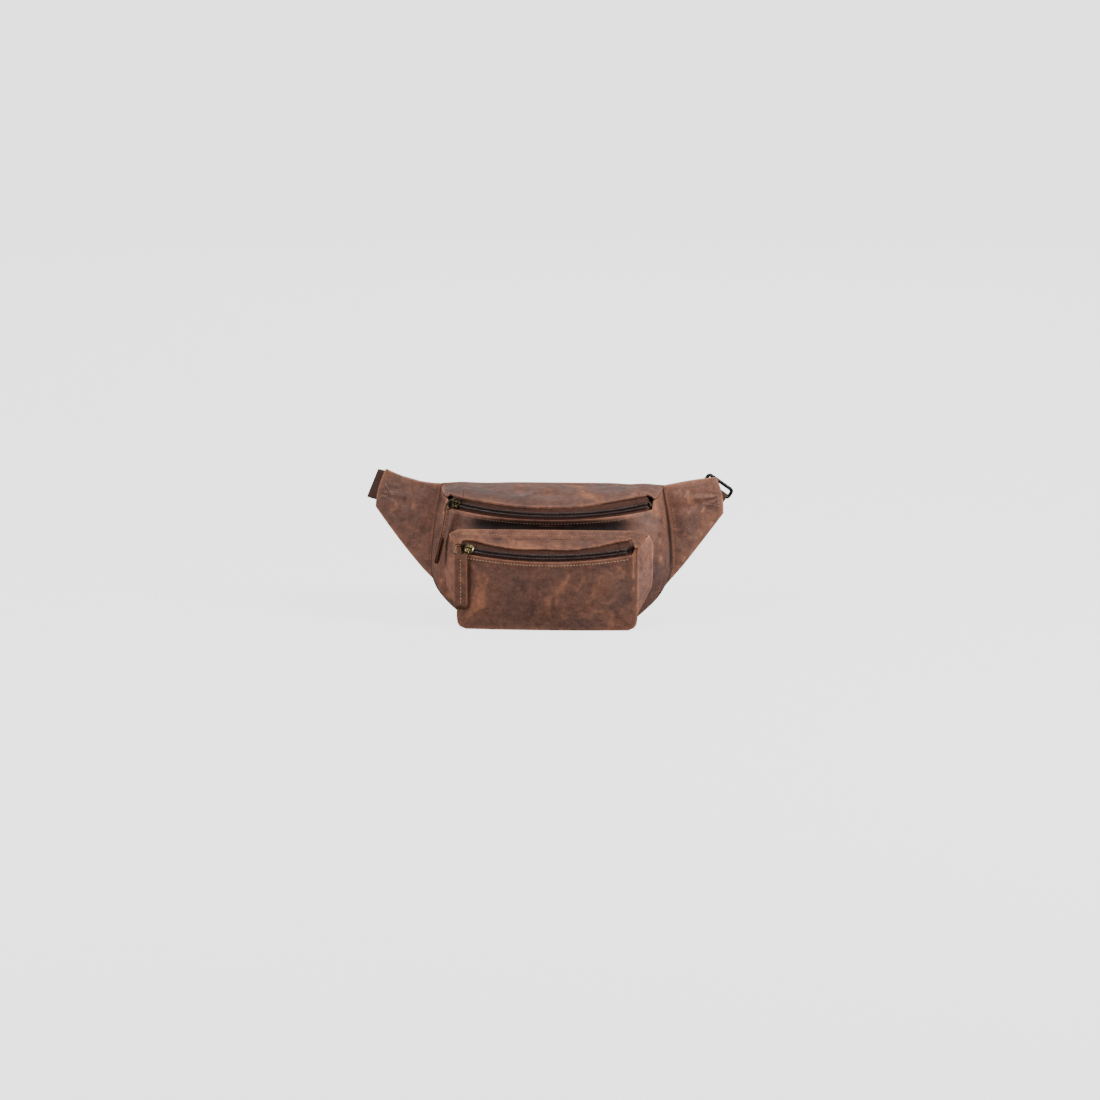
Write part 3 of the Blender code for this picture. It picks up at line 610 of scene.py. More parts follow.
def sunken_wall(places, away):
    """The wall between the two zips sinks in behind the pocket's top edge."""
    x, z = places[:, 0], places[:, 2]
    dent = np.exp(-((z - 0.0955) / 0.0075) ** 2) * smooth((0.100 - np.abs(x)) / 0.03)
    places[:, 1] += WALL_DENT * dent * (places[:, 1] < 0.012)
    return places


def crevice_shade(places):
    """Painted shade where the wall dips behind the pocket's top edge, and in the side seams."""
    x, z = places[:, 0], places[:, 2]
    deep = np.exp(-((z - 0.0970) / 0.0080) ** 6)
    dip = deep * smooth((0.094 - np.abs(x)) / 0.030) * (places[:, 1] < 0.012)
    return np.maximum(dip, seam_painted_shade(places))


def seam_painted_shade(places):
    """Painted shade in the groove between the body and a wing."""
    beyond = np.abs(places[:, 0]) - seam_half(places[:, 2])
    return 0.92 * np.exp(-((beyond - 0.4 * MM) / (0.9 * MM)) ** 2) * (places[:, 1] < 0.070)


def top_sag(places, away):
    """The rear of the top sags, most at its corners and where the belt shows behind it."""
    x = places[:, 0]
    rear = smooth((places[:, 1] - 0.012) / 0.030)
    dips = np.exp(-((x + 0.066) / 0.020) ** 2) + np.exp(-((x - 0.076) / 0.010) ** 2)
    corner = smooth((np.abs(x) - 0.088) / 0.022)
    places[:, 2] -= rear * (1.1 + 0.9 * dips + 1.4 * corner) * MM
    return places


def back_top_sag(places, away):
    """The back panel's top edge follows the sagging top."""
    high = smooth((places[:, 2] - 0.100) / 0.020)
    places[:, 2] -= high * BACK_SAG
    return places


def rounded_ears(places, away):
    """The pocket's top corners bend down over its sides."""
    side = smooth((np.abs(places[:, 0]) - 0.0825) / 0.018)
    places[:, 2] -= EAR_DROP * side * smooth((places[:, 2] - 0.050) / 0.022)
    return places


def closed_seam(side):
    """The wing's inner edge reaches the body's side, without the gap that the solids keep."""
    def shape(places, away):
        beyond = side * places[:, 0] - seam_half(places[:, 2])
        places[:, 0] -= side * SEAM_PULL * (1 - smooth(beyond / 0.012))
        return places
    return shape


def fuller_left(places, away):
    """The body's left side bulges a little near the bottom."""
    x, z = places[:, 0], places[:, 2]
    places[:, 0] -= LEFT_BULGE * smooth((-x - 0.040) / 0.050) * bump_at(z, 0.030, 0.020)
    return places


def fuller_hem(side):
    """A wing's lower edge hangs in a gentle curve, more on the left."""
    droop = LEFT_DROOP if side < 0 else RIGHT_DROOP

    def shape(places, away):
        x = side * places[:, 0]
        bins = np.linspace(x.min(), x.max(), 24)
        slot = np.clip(np.digitize(x, bins) - 1, 0, 22)
        lowest = np.array([places[slot == i, 2].min() if (slot == i).any() else np.nan for i in range(23)])
        found = ~np.isnan(lowest)
        hem = np.interp(x, ((bins[:-1] + bins[1:]) / 2)[found], lowest[found])
        low = 1 - smooth((places[:, 2] - hem) / 0.035)
        along = np.clip((x - x.min()) / (x.max() - x.min()), 0, 1)
        places[:, 2] -= droop * low * np.sin(math.pi * along) ** 0.8
        return places

    return shape


def tip_creases(side, depth):
    """Creases that fan from the strap's seam at the tip towards the body."""
    low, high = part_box("wing_right_front" if side > 0 else "wing_left_front")
    tip_x = high.x if side > 0 else low.x
    tip_z = 0.116

    def shape(places, away):
        inwards = side * (tip_x - places[:, 0])
        rise = places[:, 2] - tip_z
        turn = np.arctan2(rise, np.maximum(inwards, 1e-4))
        far = np.hypot(inwards, rise)
        fan = np.cos(turn * 13.0 + 0.6) * np.exp(-((turn + 0.2) / 0.55) ** 2)
        near = smooth(far / 0.012) * (1 - smooth((far - 0.020) / 0.042))
        places[:, 1] -= depth * fan * near * smooth(away / 0.005)
        return places

    return shape


def drawn_back(arc, amounts):
    """The leather's edge is drawn back from the teeth by amounts(x), so the tape shows."""
    forward, up = np.array(arc.forward), np.array(arc.up)

    def shape(places, away):
        ahead = (places - np.array(arc.centre)) @ forward
        radius = np.hypot(ahead, places[:, 0])
        near = 1 - smooth((arc.edge - radius) / 0.015)
        pull = amounts(places[:, 0]) * near
        places -= pull[:, None] * forward
        places += (0.16 * pull)[:, None] * up
        return places

    return shape


def bump_at(x, middle, reach):
    return np.exp(-((x - middle) / reach) ** 2)


def main_opening(x):
    """How far the top is drawn back: widest at the closed end of the zip."""
    ends = smooth((0.0995 - np.abs(x)) / 0.004)
    return ends * MM * (5.2 * smooth((x - 0.005) / 0.075) + 0.5 * np.sin(x * 95 + 1))


def pocket_opening(x):
    ends = smooth((0.0855 - np.abs(x)) / 0.004)
    return ends * MM * (4.4 * smooth((x - 0.040) / 0.035) + 3.0 * bump_at(x, -0.074, 0.013)
                        + 0.6 * np.sin(x * 120 + 2))


# Body, pocket and wings ---------------------------------------------------------------------

def outward(p):
    """Horizontal direction away from the middle of the body, for the wrapped walls."""
    away = np.array((p[0] * 0.45, p[1] - 0.040, 0.0))
    return away / max(np.linalg.norm(away), 1e-6)


def body_skins():
    # the wall gets painted shade in the hollow under the main zip and in the side seam grooves
    wall = skin("body_wall", outward, 0.9 * MM, 0.03, 0.6 * MM, 2.0, WALL_LEATHER_PAINTED_LIGHTER,
                [sunken_wall, fuller_left], crevice_shade)
    back = skin("back_panel", FORWARD, 1.0 * MM, 0.05, 0.3 * MM, 5.0,
                shapes=[back_top_sag, fuller_left], spacing=COARSE)
    skin("base_panel", (0, 0, 1), 0.4 * MM, 0.03, 0.15 * MM, 6.0, shapes=[fuller_left], spacing=COARSE)
    plate = lid_pair(MAIN, "top_plate", "top_flap", (1.2 * MM, 0.016, 0.5 * MM, 7.0),
                     [drawn_back(MAIN, main_opening), top_sag], 9 * MM)
    return wall, back, plate


def pocket_skins():
    face = skin("pocket_face", BACKWARD, 1.8 * MM, 0.030, 0.6 * MM, 11.0, shapes=[rounded_ears])
    gusset = skin("pocket_gusset", outward, 0.8 * MM, 0.012, 0.6 * MM, 12.0, GUSSET_LEATHER_PAINTED_LIGHTER, [rounded_ears])
    top = lid_pair(POCKET, "pocket_top", "pocket_lip", (0.9 * MM, 0.007, 0.45 * MM, 13.0),
                   [drawn_back(POCKET, pocket_opening), rounded_ears], 4 * MM)
    return face, gusset, top


def wing_bend(side):
    """Between the body and a wing, the leather turns over a band beside the slanting seam."""
    middle_z = 0.080
    seam_x = seam_half(middle_z) + 3 * MM
    body = "left_wing" if side < 0 else "right_wing"
    start = (side * seam_x, 0.0, middle_z)
    end = (side * (seam_x + 0.034), 0.0, middle_z - 0.006)
    return "pack", body, start, end


def lid_bend(arc, depth):
    """The leather of a lid turns over a narrow band in front of its hinge line."""
    hinge = Vector(JOINTS[f"{arc.name}_mouth"]["pos_m"])
    return "pack", f"{arc.name}_lid", tuple(hinge), tuple(hinge + arc.forward * depth)


def lid_pair(arc, fixed, lid, looks, shapes, depth):
    """The fixed leather behind a zip and the lid sewn to it, made to look like one piece."""
    up = tuple(arc.up)
    made = skin(fixed, up, *looks, shapes=shapes, joined=[lid])
    skin(lid, up, *looks, shapes=shapes, joined=[fixed], bend=lid_bend(arc, depth))
    return made


def wing_skins(name, side, crease):
    normal = (side * WING_SWEEP, -1.0, 0.0)
    shapes = [closed_seam(side), fuller_hem(side), tip_creases(side, crease)]
    # the wing's front gets painted shade in the groove at its seam
    front = skin(f"{name}_front", normal, 1.3 * MM, 0.02, 0.7 * MM, 17.0 + side, WING_LEATHER_PAINTED_LIGHTER, shapes,
                 seam_painted_shade, bend=wing_bend(side))
    back = skin(f"{name}_back", normal, 0.5 * MM, 0.02, 0.35 * MM, 18.0 + side, WING_LEATHER_PAINTED_LIGHTER, shapes[:2],
                bend=wing_bend(side))
    return front, back


# Zips ---------------------------------------------------------------------------------------

class Arc:
    """The flat arc that a zip follows, taken from its slider's joint and the CAD teeth."""

    def __init__(self, name, lid):
        joint = JOINTS[f"{name}_zip"]
        self.name = name
        self.centre = Vector(joint["pos_m"])
        self.up = Vector(joint["axis"]).normalized()
        self.forward = Vector((1, 0, 0)).cross(self.up).normalized()
        rows = {row: self.local(f"{name}_teeth_{row}") for row in ("lower", "upper")}
        self.turns = {row: (points[:, 2].min(), points[:, 2].max()) for row, points in rows.items()}
        lower, upper = (self.row_centre(points) for points in rows.values())
        self.middle = (lower + upper) / 2
        across = upper - lower
        self.across = across / np.linalg.norm(across)
        self.proud = np.array((self.across[1], -self.across[0]))
        self.edge = self.local(lid)[:, 0].max()

    def local(self, node):
        """(radius, height over the arc's plane, turn) of each of the node's points."""
        found = []
        for vertex in NODES[node].data.vertices:
            p = vertex.co - self.centre
            ahead, side, high = p.dot(self.forward), p.x, p.dot(self.up)
            found.append((math.hypot(ahead, side), high, math.atan2(side, ahead)))
        return np.array(found)

    def row_centre(self, points):
        middle = points[np.abs(points[:, 2]) < 0.2][:, :2]
        return (middle.min(axis=0) + middle.max(axis=0)) / 2

    def spot(self, turn, across, proud):
        """A point near the teeth: `across` the tape from their middle, `proud` of their centre."""
        radius, high = self.middle + across * self.across + proud * self.proud
        radial = self.forward * math.cos(turn) + Vector((1, 0, 0)) * math.sin(turn)
        return self.centre + float(radius) * radial + float(high) * self.up

    def turn_at(self, x):
        return math.asin(x / self.middle[0])

    def frame(self, x):
        """Matrix at the teeth: X along the zip, Y out of the tape, Z across the tape."""
        turn = self.turn_at(x)
        place = self.spot(turn, 0, 0)
        across = (self.spot(turn, MM, 0) - place).normalized()
        out = (self.spot(turn, 0, MM) - place).normalized()
        along = out.cross(across)
        turned = Matrix((along, out, across)).transposed().to_4x4()
        return Matrix.Translation(place) @ turned


def tube_along(points, radius, sides=8, closed=False):
    """(points, faces) of a round tube along the run. The radius may be a list, one for each point."""
    count = len(points)
    radii = radius if isinstance(radius, list) else [radius] * count
    ring_points = []
    side = None
    for i, p in enumerate(points):
        ahead = points[(i + 1) % count] if closed or i < count - 1 else p
        behind = points[i - 1] if closed or i > 0 else p
        along = (ahead - behind).normalized()
        if side is None:
            side = along.orthogonal().normalized()
        side = (side - along * side.dot(along)).normalized()
        other = along.cross(side)
        for s in range(sides):
            turn = 2 * math.pi * s / sides
            ring_points.append(p + radii[i] * (math.cos(turn) * side + math.sin(turn) * other))
    return ring_points, tube_faces(count, sides, closed)


def round_corners(corners_in, radius, count=5):
    """The closed run through the corners with each corner turned as an arc."""
    made = []
    for i, corner in enumerate(corners_in):
        before = (corners_in[i - 1] - corner).normalized()
        after = (corners_in[(i + 1) % len(corners_in)] - corner).normalized()
        for t in steps(count):
            a, b = corner + before * radius * (1 - t) ** 2, corner + after * radius * t ** 2
            made.append(a + (b - corner))
    return made


def join_parts(name, parts):
    points, faces = [], []
    for part_points, part_faces in parts:
        first = len(points)
        points += part_points
        faces += [tuple(first + i for i in face) for face in part_faces]
    return mesh_from(name, points, faces)


TOOTH = ((-1.15, -0.55), (-1.25, 0.35), (-0.3, 0.80), (0.9, 0.72), (1.42, 0.1), (0.9, -0.55))


def teeth(arc, row, body, turns, tag=""):
    """One row of a coil: a small wire loop for each tooth, sewn down by a line of thread."""
    first, last = turns
    way = 1 if row == "upper" else -1
    inset = 1.7 * MM * way
    count = int((last - first) * arc.middle[0] / TOOTH_PITCH)
    loops, sewing = [], []
    for i in range(count):
        turn = first + (last - first) * (i + (0.5 if way > 0 else 0.0)) / count
        path = [arc.spot(turn, inset - way * reach * MM, off * MM) for reach, off in TOOTH]
        loops.append(tube_along(path, 0.36 * MM, 5))
        half_turn = 0.5 * TOOTH_PITCH / arc.middle[0]
        thread_run = [arc.spot(turn + half_turn * t, inset * 1.12, (1.12 + 0.12 * (1 - t * t)) * MM)
                      for t in (-0.75, 0.0, 0.75)]
        sewing.append(tube_along(thread_run, [0.14 * MM, 0.24 * MM, 0.14 * MM], 5))
    coil = new_object(f"{arc.name}_coil_{row}{tag}", join_parts("coil", loops), body, COIL)
    new_object(f"{arc.name}_sewing_{row}{tag}", join_parts("sewing", sewing), body, ZIP_THREAD)
    return coil


def zip_looks(arc, lid):
    upper = teeth(arc, "upper", lid, arc.turns["upper"])
    lower = teeth(arc, "lower", "pack", arc.turns["lower"])
    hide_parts(f"{arc.name}_teeth_upper")
    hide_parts(f"{arc.name}_teeth_lower")
    (low_first, low_last), (up_first, up_last) = arc.turns["lower"], arc.turns["upper"]
    step = TOOTH_PITCH / arc.middle[0]
    teeth(arc, "upper", "pack", (low_first, up_first - step), "_left_end")
    teeth(arc, "upper", "pack", (up_last + step, low_last), "_right_end")
    for part in ("lower", "left", "right", "upper"):
        cloth_copy(f"{arc.name}_tape_{part}", TAPE, tuple(arc.up), 0.05 * MM, 2.5 * MM)
    for side in ("left", "right"):
        NODES[f"{arc.name}_stop_{side}"].data.materials[0] = BLACK


# Sliders and pulls ----------------------------------------------------------------------------

def pebble(size, centre, power=0.55, rows=9, columns=20):
    """(points, faces) of a rounded block: a sphere pushed out towards its bounding box."""
    def swell(value):
        return math.copysign(abs(value) ** power, value)

    points = [Vector((0, -0.5, 0))]
    for r in range(1, rows):
        tilt = math.pi * r / rows
        for c in range(columns):
            turn = 2 * math.pi * c / columns
            flat = swell(math.sin(tilt))
            x, z = flat * swell(math.cos(turn)), flat * swell(math.sin(turn))
            points.append(0.5 * Vector((x, -swell(math.cos(tilt)), z)))
    points.append(Vector((0, 0.5, 0)))
    faces = [(0, 1 + c, 1 + (c + 1) % columns) for c in range(columns)]
    for r in range(rows - 2):
        for c in range(columns):
            n = (c + 1) % columns
            a, b = 1 + r * columns, 1 + (r + 1) * columns
            faces.append((a + c, b + c, b + n, a + n))
    top, ring = len(points) - 1, 1 + (rows - 2) * columns
    faces += [(top, ring + (c + 1) % columns, ring + c) for c in range(columns)]
    return [Vector((p.x * size[0], p.y * size[1], p.z * size[2])) + Vector(centre) for p in points], faces


def slider_looks(arc, paint):
    """A cast slider: domed front plate, flanges round the teeth, back plate and an arched bridge."""
    parts = [
        pebble((8.8 * MM, 2.2 * MM, 8.8 * MM), (0, 2.0 * MM, 0), 0.62),
        pebble((5.6 * MM, 2.4 * MM, 5.4 * MM), (-0.2 * MM, 2.6 * MM, 0), 0.9),
        pebble((7.4 * MM, 1.3 * MM, 7.8 * MM), (0, -2.6 * MM, 0), 0.4),
        pebble((7.4 * MM, 4.4 * MM, 1.2 * MM), (0, 0, 3.75 * MM), 0.4),
        pebble((7.4 * MM, 4.4 * MM, 1.2 * MM), (0, 0, -3.75 * MM), 0.4),
    ]
    arch = [(-2.9, 2.6), (-2.7, 4.6), (-1.9, 6.0), (-0.6, 6.6),
            (1.2, 6.5), (2.8, 5.7), (3.5, 4.2), (3.6, 2.6)]
    arch_points = [Vector((a * MM, h * MM, 0)) for a, h in arch]
    parts.append(tube_along(arch_points, [0.75 * MM] * 2 + [0.95 * MM] * 4 + [0.75 * MM] * 2, 10))
    node = f"{arc.name}_slider"
    mesh = join_parts(node + "_cast", parts)
    mesh.transform(arc.frame(SLIDER_X[arc.name]))
    stand_in(node + "_cast", mesh, node, paint)


def wire_loop(arc, paint):
    """The thin wire frame that the pull hangs from, round its CAD solid's corners."""
    node = f"{arc.name}_loop"
    path = round_corners(tube_corners(node), 1.0 * MM)
    mesh = join_parts(node + "_wire", [tube_along(path, 0.62 * MM, 8, closed=True)])
    stand_in(node + "_wire", mesh, node, paint)


def tube_corners(node):
    """Centres of the rings of points that a CAD tube has at its four corners, in order round it."""
    points = [v.co.copy() for v in NODES[node].data.vertices]
    centre = sum(points, Vector()) / len(points)
    plane = np.linalg.svd(np.array([p - centre for p in points]), full_matrices=False)[2]
    first, second = Vector(plane[0]), Vector(plane[1])
    groups = {}
    for p in points:
        local = p - centre
        key = (local.dot(first) > 0, local.dot(second) > 0)
        groups.setdefault(key, []).append(p)
    order = [(True, True), (True, False), (False, False), (False, True)]
    return [sum(groups[k], Vector()) / len(groups[k]) for k in order]


def strap_band(path, wide, width, thickness, clip=1.6 * MM):
    """(points, faces) of a leather band along the path, its two ends clipped round."""
    across = 9
    count = len(path)
    reach = [0.0]
    for a, b in zip(path, path[1:]):
        reach.append(reach[-1] + (b - a).length)
    points = []
    for i, p in enumerate(path):
        ahead, behind = path[min(i + 1, count - 1)], path[max(i - 1, 0)]
        along = (ahead - behind).normalized()
        side = (wide - along * wide.dot(along)).normalized()
        out = side.cross(along)
        end = min(reach[i], reach[-1] - reach[i])
        cut = clip * (1 - math.sqrt(1 - (1 - clamp(end / clip)) ** 2))
        half = width / 2 - cut
        for face in (1, -1):
            for c in range(across):
                u = -1 + 2 * c / (across - 1)
                edge = 1 - 0.55 * abs(u) ** 6
                points.append(p + side * (u * half * face) + out * (face * thickness / 2 * edge))
    return points, tube_faces(count, 2 * across)


def folded_path(top, bottom, wide, gap, curl=0.0):
    """Down-up run of a strap folded over a wire at `top`: front leg, fold, back leg."""
    down = (bottom - top).normalized()
    front = down.cross(wide).normalized()
    length = (bottom - top).length
    bow = [curl * (t * t) for t in steps(13)]
    front_leg = [top + down * (length * t) + front * (gap + b) for t, b in zip(steps(13), bow)]
    back_leg = [top + down * (length * t) + front * (b - gap) for t, b in zip(steps(13), bow)]
    fold = [top + (front * math.cos(t) - down * math.sin(t)) * gap for t in steps(7, 0.35, math.pi - 0.35)]
    return list(reversed(front_leg)) + fold + back_leg, front


def pull_looks(name, wide, width, curl):
    """A leather strip folded over the wire and sewn to itself down its middle."""
    node = f"{name}_puller"
    middle, axes = principal_axes(node)
    long_axis = axes[0] if axes[0].z < 0 else -axes[0]
    length = extent(node, middle, long_axis)
    top, bottom = middle - long_axis * (length / 2 - 0.2 * MM), middle + long_axis * length / 2
    wide = (axes[1] if axes[1].dot(wide) > 0 else -axes[1])
    layer = 1.15 * MM
    path, front = folded_path(top, bottom, wide, layer / 2 + 0.12 * MM, curl)
    mesh = join_parts(node + "_strap", [strap_band(path, wide, width, layer)])
    edge_marks(mesh, top, wide, width)
    thing = stand_in(node + "_strap", mesh, node, PULLER_LEATHER)
    tree = surface(thing)
    for side, way in (("front", 1), ("back", -1)):
        line = [top + long_axis * (length * t) - wide * 0.02 * width for t in steps(30, 0.10, 0.93)]
        spots = project(tree, line, -front * way)
        stitches(f"{node}_stitches_{side}", spots, node, PALE_THREAD, 3.4 * MM, 2.6 * MM, 0.28 * MM)


def principal_axes(node):
    """The middle of a CAD solid and its long, wide and thin directions."""
    points = np.array([v.co for v in NODES[node].data.vertices])
    middle = points.mean(axis=0)
    axes = np.linalg.svd(points - middle, full_matrices=False)[2]
    return Vector(middle), [Vector(a) for a in axes]


def extent(node, middle, direction):
    along = [(v.co - middle).dot(direction) for v in NODES[node].data.vertices]
    return max(along) - min(along)


def edge_marks(mesh, top, wide, width):
    """Rim attribute of a strap: 0 at its long edges and 1 inside."""
    away = [width / 2 - abs((v.co - top).dot(wide)) for v in mesh.vertices]
    put_attribute(mesh, "rim", [clamp(a / (4 * MM)) for a in away])


# Belt hardware ------------------------------------------------------------------------------

def ring_looks():
    """The bare rectangular ring at the right tip, as bent wire with round corners."""
    joint = JOINTS["ring_swing"]
    pivot, bar = Vector(joint["pos_m"]), -Vector(joint["axis"])
    slope = math.atan(WING_SWEEP)
    tab = bar.cross(Vector((-math.sin(slope), math.cos(slope), 0)))
    half, deep, wire = 15.2 * MM, 9.2 * MM, 1.75 * MM
    box = [pivot + bar * b + tab * t for b, t in ((-half, 0), (half, 0), (half, deep), (-half, deep))]
    path = round_corners(box, 3.2 * MM, 7)
    mesh = join_parts("ring_wire", [tube_along(path, wire, 12, closed=True)])
    stand_in("ring_wire", mesh, "ring", BLACK)


def hook_looks():
    """The snap hook: strap bar, curved nose and the gate that springs across its mouth."""
    x, y, z = JOINTS["hook_swing"]["pos_m"]

    def at(along, up):
        return Vector((x + along, y, z + up))

    half, neck = 16.8 * MM, 8.5 * MM
    box = [at(0, -half), at(neck, -half), at(neck, half), at(0, half)]
    bar = tube_along(round_corners(box, 2.4 * MM, 6), 1.25 * MM, 10, closed=True)
    nose = [at(neck, 0), at(0.0125, 0.0005)]
    nose += [at(0.021 + 0.0065 * math.cos(t), 0.001 + 0.0075 * math.sin(t))
             for t in steps(8, math.pi, math.pi / 2)]
    nose += [at(0.029 + 0.0080 * math.cos(t), 0.0085 * math.sin(t))
             for t in steps(16, math.pi / 2, -math.pi / 2)]
    nose.append(at(0.0275, -0.0085))
    stub = [at(neck, 0), at(0.0135, -0.0075)]
    parts = [bar, tube_along(nose, 1.55 * MM, 12), tube_along(stub, 1.5 * MM, 10),
             pebble((5.5 * MM, 4.2 * MM, 9.0 * MM), at(neck + 0.0015, -0.0005), 0.8)]
    stand_in("hook_cast", join_parts("hook_cast", parts), "belt_hook", BLACK)
    low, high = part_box("hook_gate")
    middle = (low + high) / 2
    parts = [pebble(tuple(high - low), tuple(middle), 0.45),
             pebble((2.2 * MM, 3.4 * MM, 2.6 * MM), (low.x + 0.0012, middle.y, middle.z), 0.8)]
    stand_in("gate_cast", join_parts("gate_cast", parts), "hook_gate", BLACK)


# Sewing --------------------------------------------------------------------------------------

def body_sewing(wall, plate, back):
    """Rows below the main zip, beside the left seam, and round the back panel."""
    tree = surface(wall)
    first, last = MAIN.turns["lower"]
    line = [MAIN.spot(t, -10.2 * MM, 0) for t in steps(150, first * 0.98, last * 0.98)]
    stitches("sewing_main_zip", project(tree, line, FORWARD), "pack", DULL_THREAD)
    for side, name in SIDES:
        line = [(side * (seam_half(z) - 4.2 * MM), 0.02, z) for z in steps(80, 0.030, 0.118)]
        found = project(tree, line, FORWARD)
        stitches(f"sewing_side_{name}", found, "pack", TAN_THREAD if side < 0 else DULL_THREAD)
    heights = steps(60, 0.006, 0.124)
    outline = [(-(seam_half(z) - 0.006), 0.05, z) for z in reversed(heights)]
    outline += [(x, 0.05, 0.006) for x in steps(60, -0.080, 0.080)]
    outline += [(seam_half(z) - 0.006, 0.05, z) for z in heights]
    outline += [(x, 0.05, 0.1235) for x in steps(80, 0.102, -0.102)]
    stitches("sewing_back", project(surface(back), outline, BACKWARD), "pack")
    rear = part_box("top_plate")[1].y - 0.004
    line = [(x, rear, 0.15) for x in steps(90, -0.104, 0.104)]
    stitches("sewing_top", project(surface(plate), line, DOWN), "pack")


def pocket_sewing(face, gusset, top):
    """Two rows along the pocket's top edge, one below its zip and one down each side."""
    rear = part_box("pocket_top")[1].y
    tree = surface(top)
    for i, ahead in enumerate((1.9 * MM, 8.0 * MM)):
        line = [(x, rear - ahead, 0.12) for x in steps(120, -POCKET_TOP_HALF, POCKET_TOP_HALF)]
        stitches(f"sewing_pocket_top_{i}", project(tree, line, DOWN), "pack")
    tree = surface(face)
    first, last = POCKET.turns["lower"]
    line = [POCKET.spot(t, -9.6 * MM, 0) for t in steps(140, first, last)]
    stitches("sewing_pocket_zip", project(tree, line, FORWARD), "pack", PALE_THREAD)
    tree = surface(gusset)
    for side, name in SIDES:
        line = [(side * (0.0995 - 0.020 * (1 - z / 0.075) ** 2), -0.05, z) for z in steps(70, 0.012, 0.078)]
        stitches(f"sewing_pocket_{name}", project(tree, line, FORWARD), "pack")


TIP_ROWS = {
    -1: [((-0.1720, 0, 0.1115), (-0.1590, 0, 0.1145), (-0.1675, 0, 0.1245))],
    1: [((0.1490, 0, 0.1095), (0.1640, 0, 0.1060)), ((0.1640, 0, 0.1060), (0.1595, 0, 0.1315))],
}


def wing_sewing(name, side, front, back):
    """A row beside the wing's seam, on both faces, and the strap's rows at the tip."""
    body = f"{name[5:]}_wing"
    for tag, leather_skin, y, way in (("", front, 0.0, FORWARD), ("_back", back, 0.09, BACKWARD)):
        line = [(side * (seam_half(z) + 4.4 * MM), y, z) for z in steps(80, 0.030, 0.122)]
        found = project(surface(leather_skin), line, way)
        stitches(f"sewing_{name}{tag}", found, body, DULL_THREAD, bend=wing_bend(side))
    tree = surface(front)
    for i, run in enumerate(TIP_ROWS[side]):
        points = [Vector(a).lerp(Vector(b), t) for a, b in zip(run, run[1:]) for t in steps(20)]
        stitches(f"sewing_{name}_tip_{i}", project(tree, points, FORWARD), body, PALE_THREAD,
                 2.6 * MM, 1.9 * MM, 0.26 * MM)


# Camera, light and floor --------------------------------------------------------------------

def look(thing, target):
    thing.rotation_euler = (Vector(target) - thing.location).to_track_quat("-Z", "Y").to_euler()


def camera():
    """A long lens, a little above the bag and a little to its right."""
    azimuth, elevation = math.radians(3.5), math.radians(10)
    frame_width = 1.084
    data = bpy.data.cameras.new("camera")
    data.lens = 400
    data.sensor_width = 36
    made = add("camera", data)
    distance = frame_width * data.lens / data.sensor_width
    target = Vector((0.0, 0.0, 0.0706))
    level = Vector((math.sin(azimuth), -math.cos(azimuth), 0)) * math.cos(elevation)
    made.location = target + (level + Vector((0, 0, math.sin(elevation)))) * distance
    look(made, target)
    data.clip_end = 60
    bpy.context.scene.camera = made


def light(name, place, size, power, target=(0, 0, 0.07)):
    data = bpy.data.lights.new(name, "AREA")
    data.shape = "RECTANGLE"
    data.size = data.size_y = size
    data.energy = power
    made = add(name, data)
    made.location = place
    look(made, target)


def studio():
    light("key", (2.3, -1.0, 1.5), 0.8, 108)
    light("fill", (-2.1, -1.5, 1.1), 1.4, 58)
    light("top", (0.1, -0.1, 2.2), 1.0, 16)
    light("back", (0.0, 2.2, 1.1), 1.4, 12)
    world = bpy.data.worlds.new("studio")
    world.use_nodes = True
    sky = world.node_tree.nodes["Background"]
    sky.inputs["Color"].default_value = (0.80, 0.80, 0.80, 1)
    sky.inputs["Strength"].default_value = 0.36
    bpy.context.scene.world = world


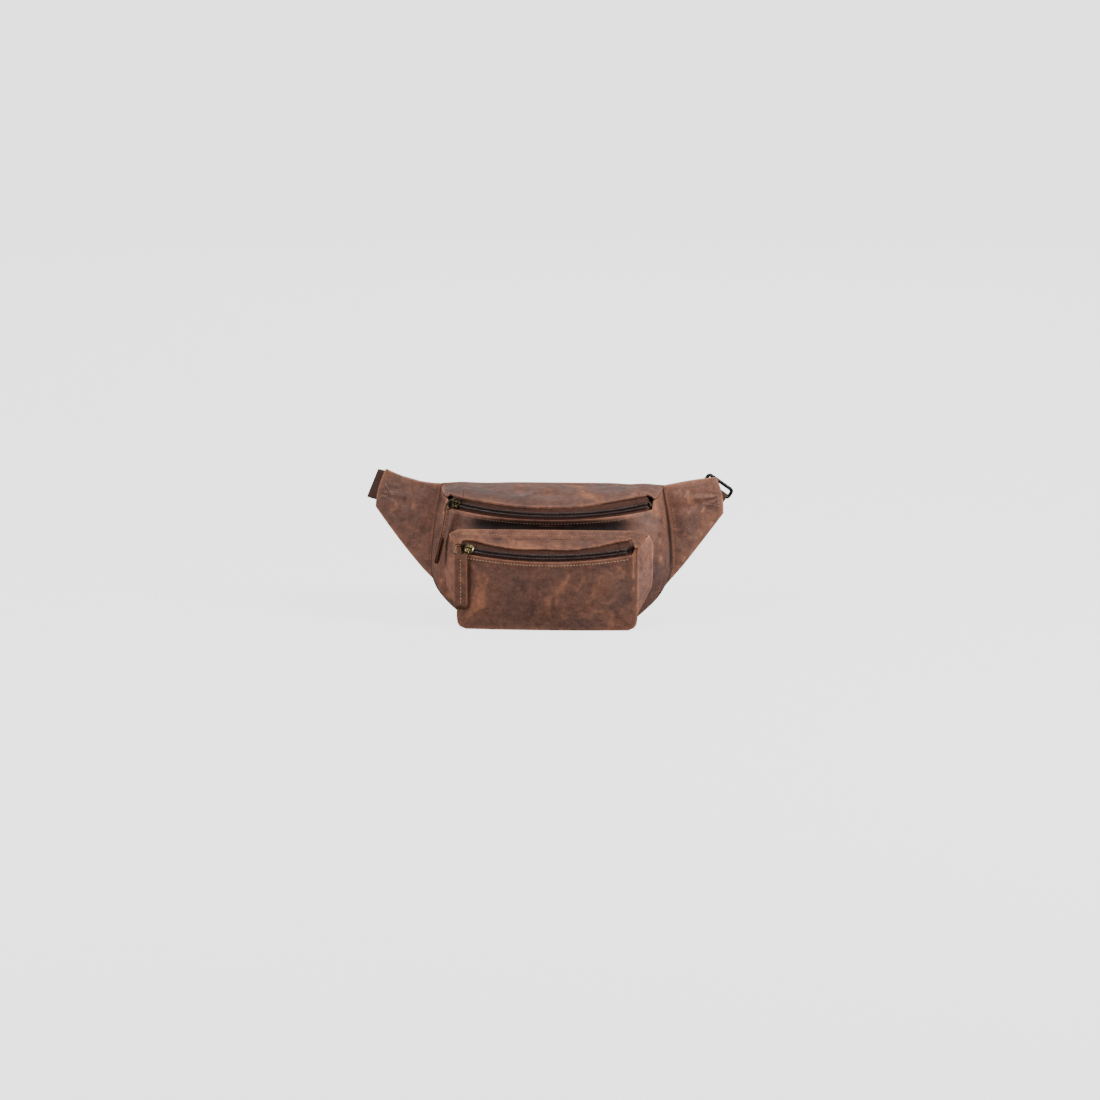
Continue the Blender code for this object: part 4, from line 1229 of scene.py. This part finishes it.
def floor():
    """A pale sweep, lit evenly by itself so that it stays plain, which doesn't light the bag."""
    half, back, high = 8.0, 4.0, 8.0
    radius = 1.5
    profile = [(-half, 0.0), (back - radius, 0.0)]
    profile += [(back - radius + radius * math.sin(t), radius - radius * math.cos(t))
                for t in steps(16, 0.1, math.pi / 2)]
    profile.append((back, high))
    points = [(x, y, z) for y, z in profile for x in (-half, half)]
    faces = [(2 * i, 2 * i + 1, 2 * i + 3, 2 * i + 2) for i in range(len(profile) - 1)]
    mesh = mesh_from("floor", points, faces)
    thing = add("floor", mesh)
    shade_smooth(mesh)
    paint = Paint("pale_floor")
    paint.bump(paint.noise(8, 2), 0.01, 0.001)
    paint.set(Base_Color=(0.30, 0.30, 0.30), Roughness=0.9,
              Emission_Color=(1.0, 1.0, 1.0), Emission_Strength=2.35)
    mesh.materials.append(paint.material)
    thing.location.z = -0.0005
    thing.visible_diffuse = False
    thing.visible_glossy = False


MAIN = Arc("main", "top_flap")
POCKET = Arc("pocket", "pocket_lip")
camera()
studio()
floor()
WALL, BACK, PLATE = body_skins()
FACE, GUSSET, POCKET_TOP = pocket_skins()
zip_looks(MAIN, "main_lid")
zip_looks(POCKET, "pocket_lid")
slider_looks(MAIN, DARK_BRASS)
slider_looks(POCKET, BRASS)
wire_loop(MAIN, DARK_BRASS)
wire_loop(POCKET, WIRE_BRASS)
pull_looks("main", Vector(BACKWARD), 11.5 * MM, 3.0 * MM)
pull_looks("pocket", Vector((1, 0, 0)), 12.5 * MM, 0.6 * MM)
for cloth_node in ("main_lining", "pocket_lining"):
    cloth_copy(cloth_node, LINING, FORWARD, 0.4 * MM)
for strap_node in ("belt_strap", "belt_keeper", "ring_tab"):
    cloth_copy(strap_node, WEBBING, FORWARD, 0.1 * MM, 3 * MM)
cloth_copy("strap_left", WEBBING, FORWARD, 0.1 * MM, 3 * MM, bend=wing_bend(-1))
ring_looks()
hook_looks()
body_sewing(WALL, PLATE, BACK)
pocket_sewing(FACE, GUSSET, POCKET_TOP)
for wing_name, wing_side, tip_depth in (("wing_left", -1, 0.5 * MM), ("wing_right", 1, 1.1 * MM)):
    wing_sewing(wing_name, wing_side, *wing_skins(wing_name, wing_side, tip_depth))
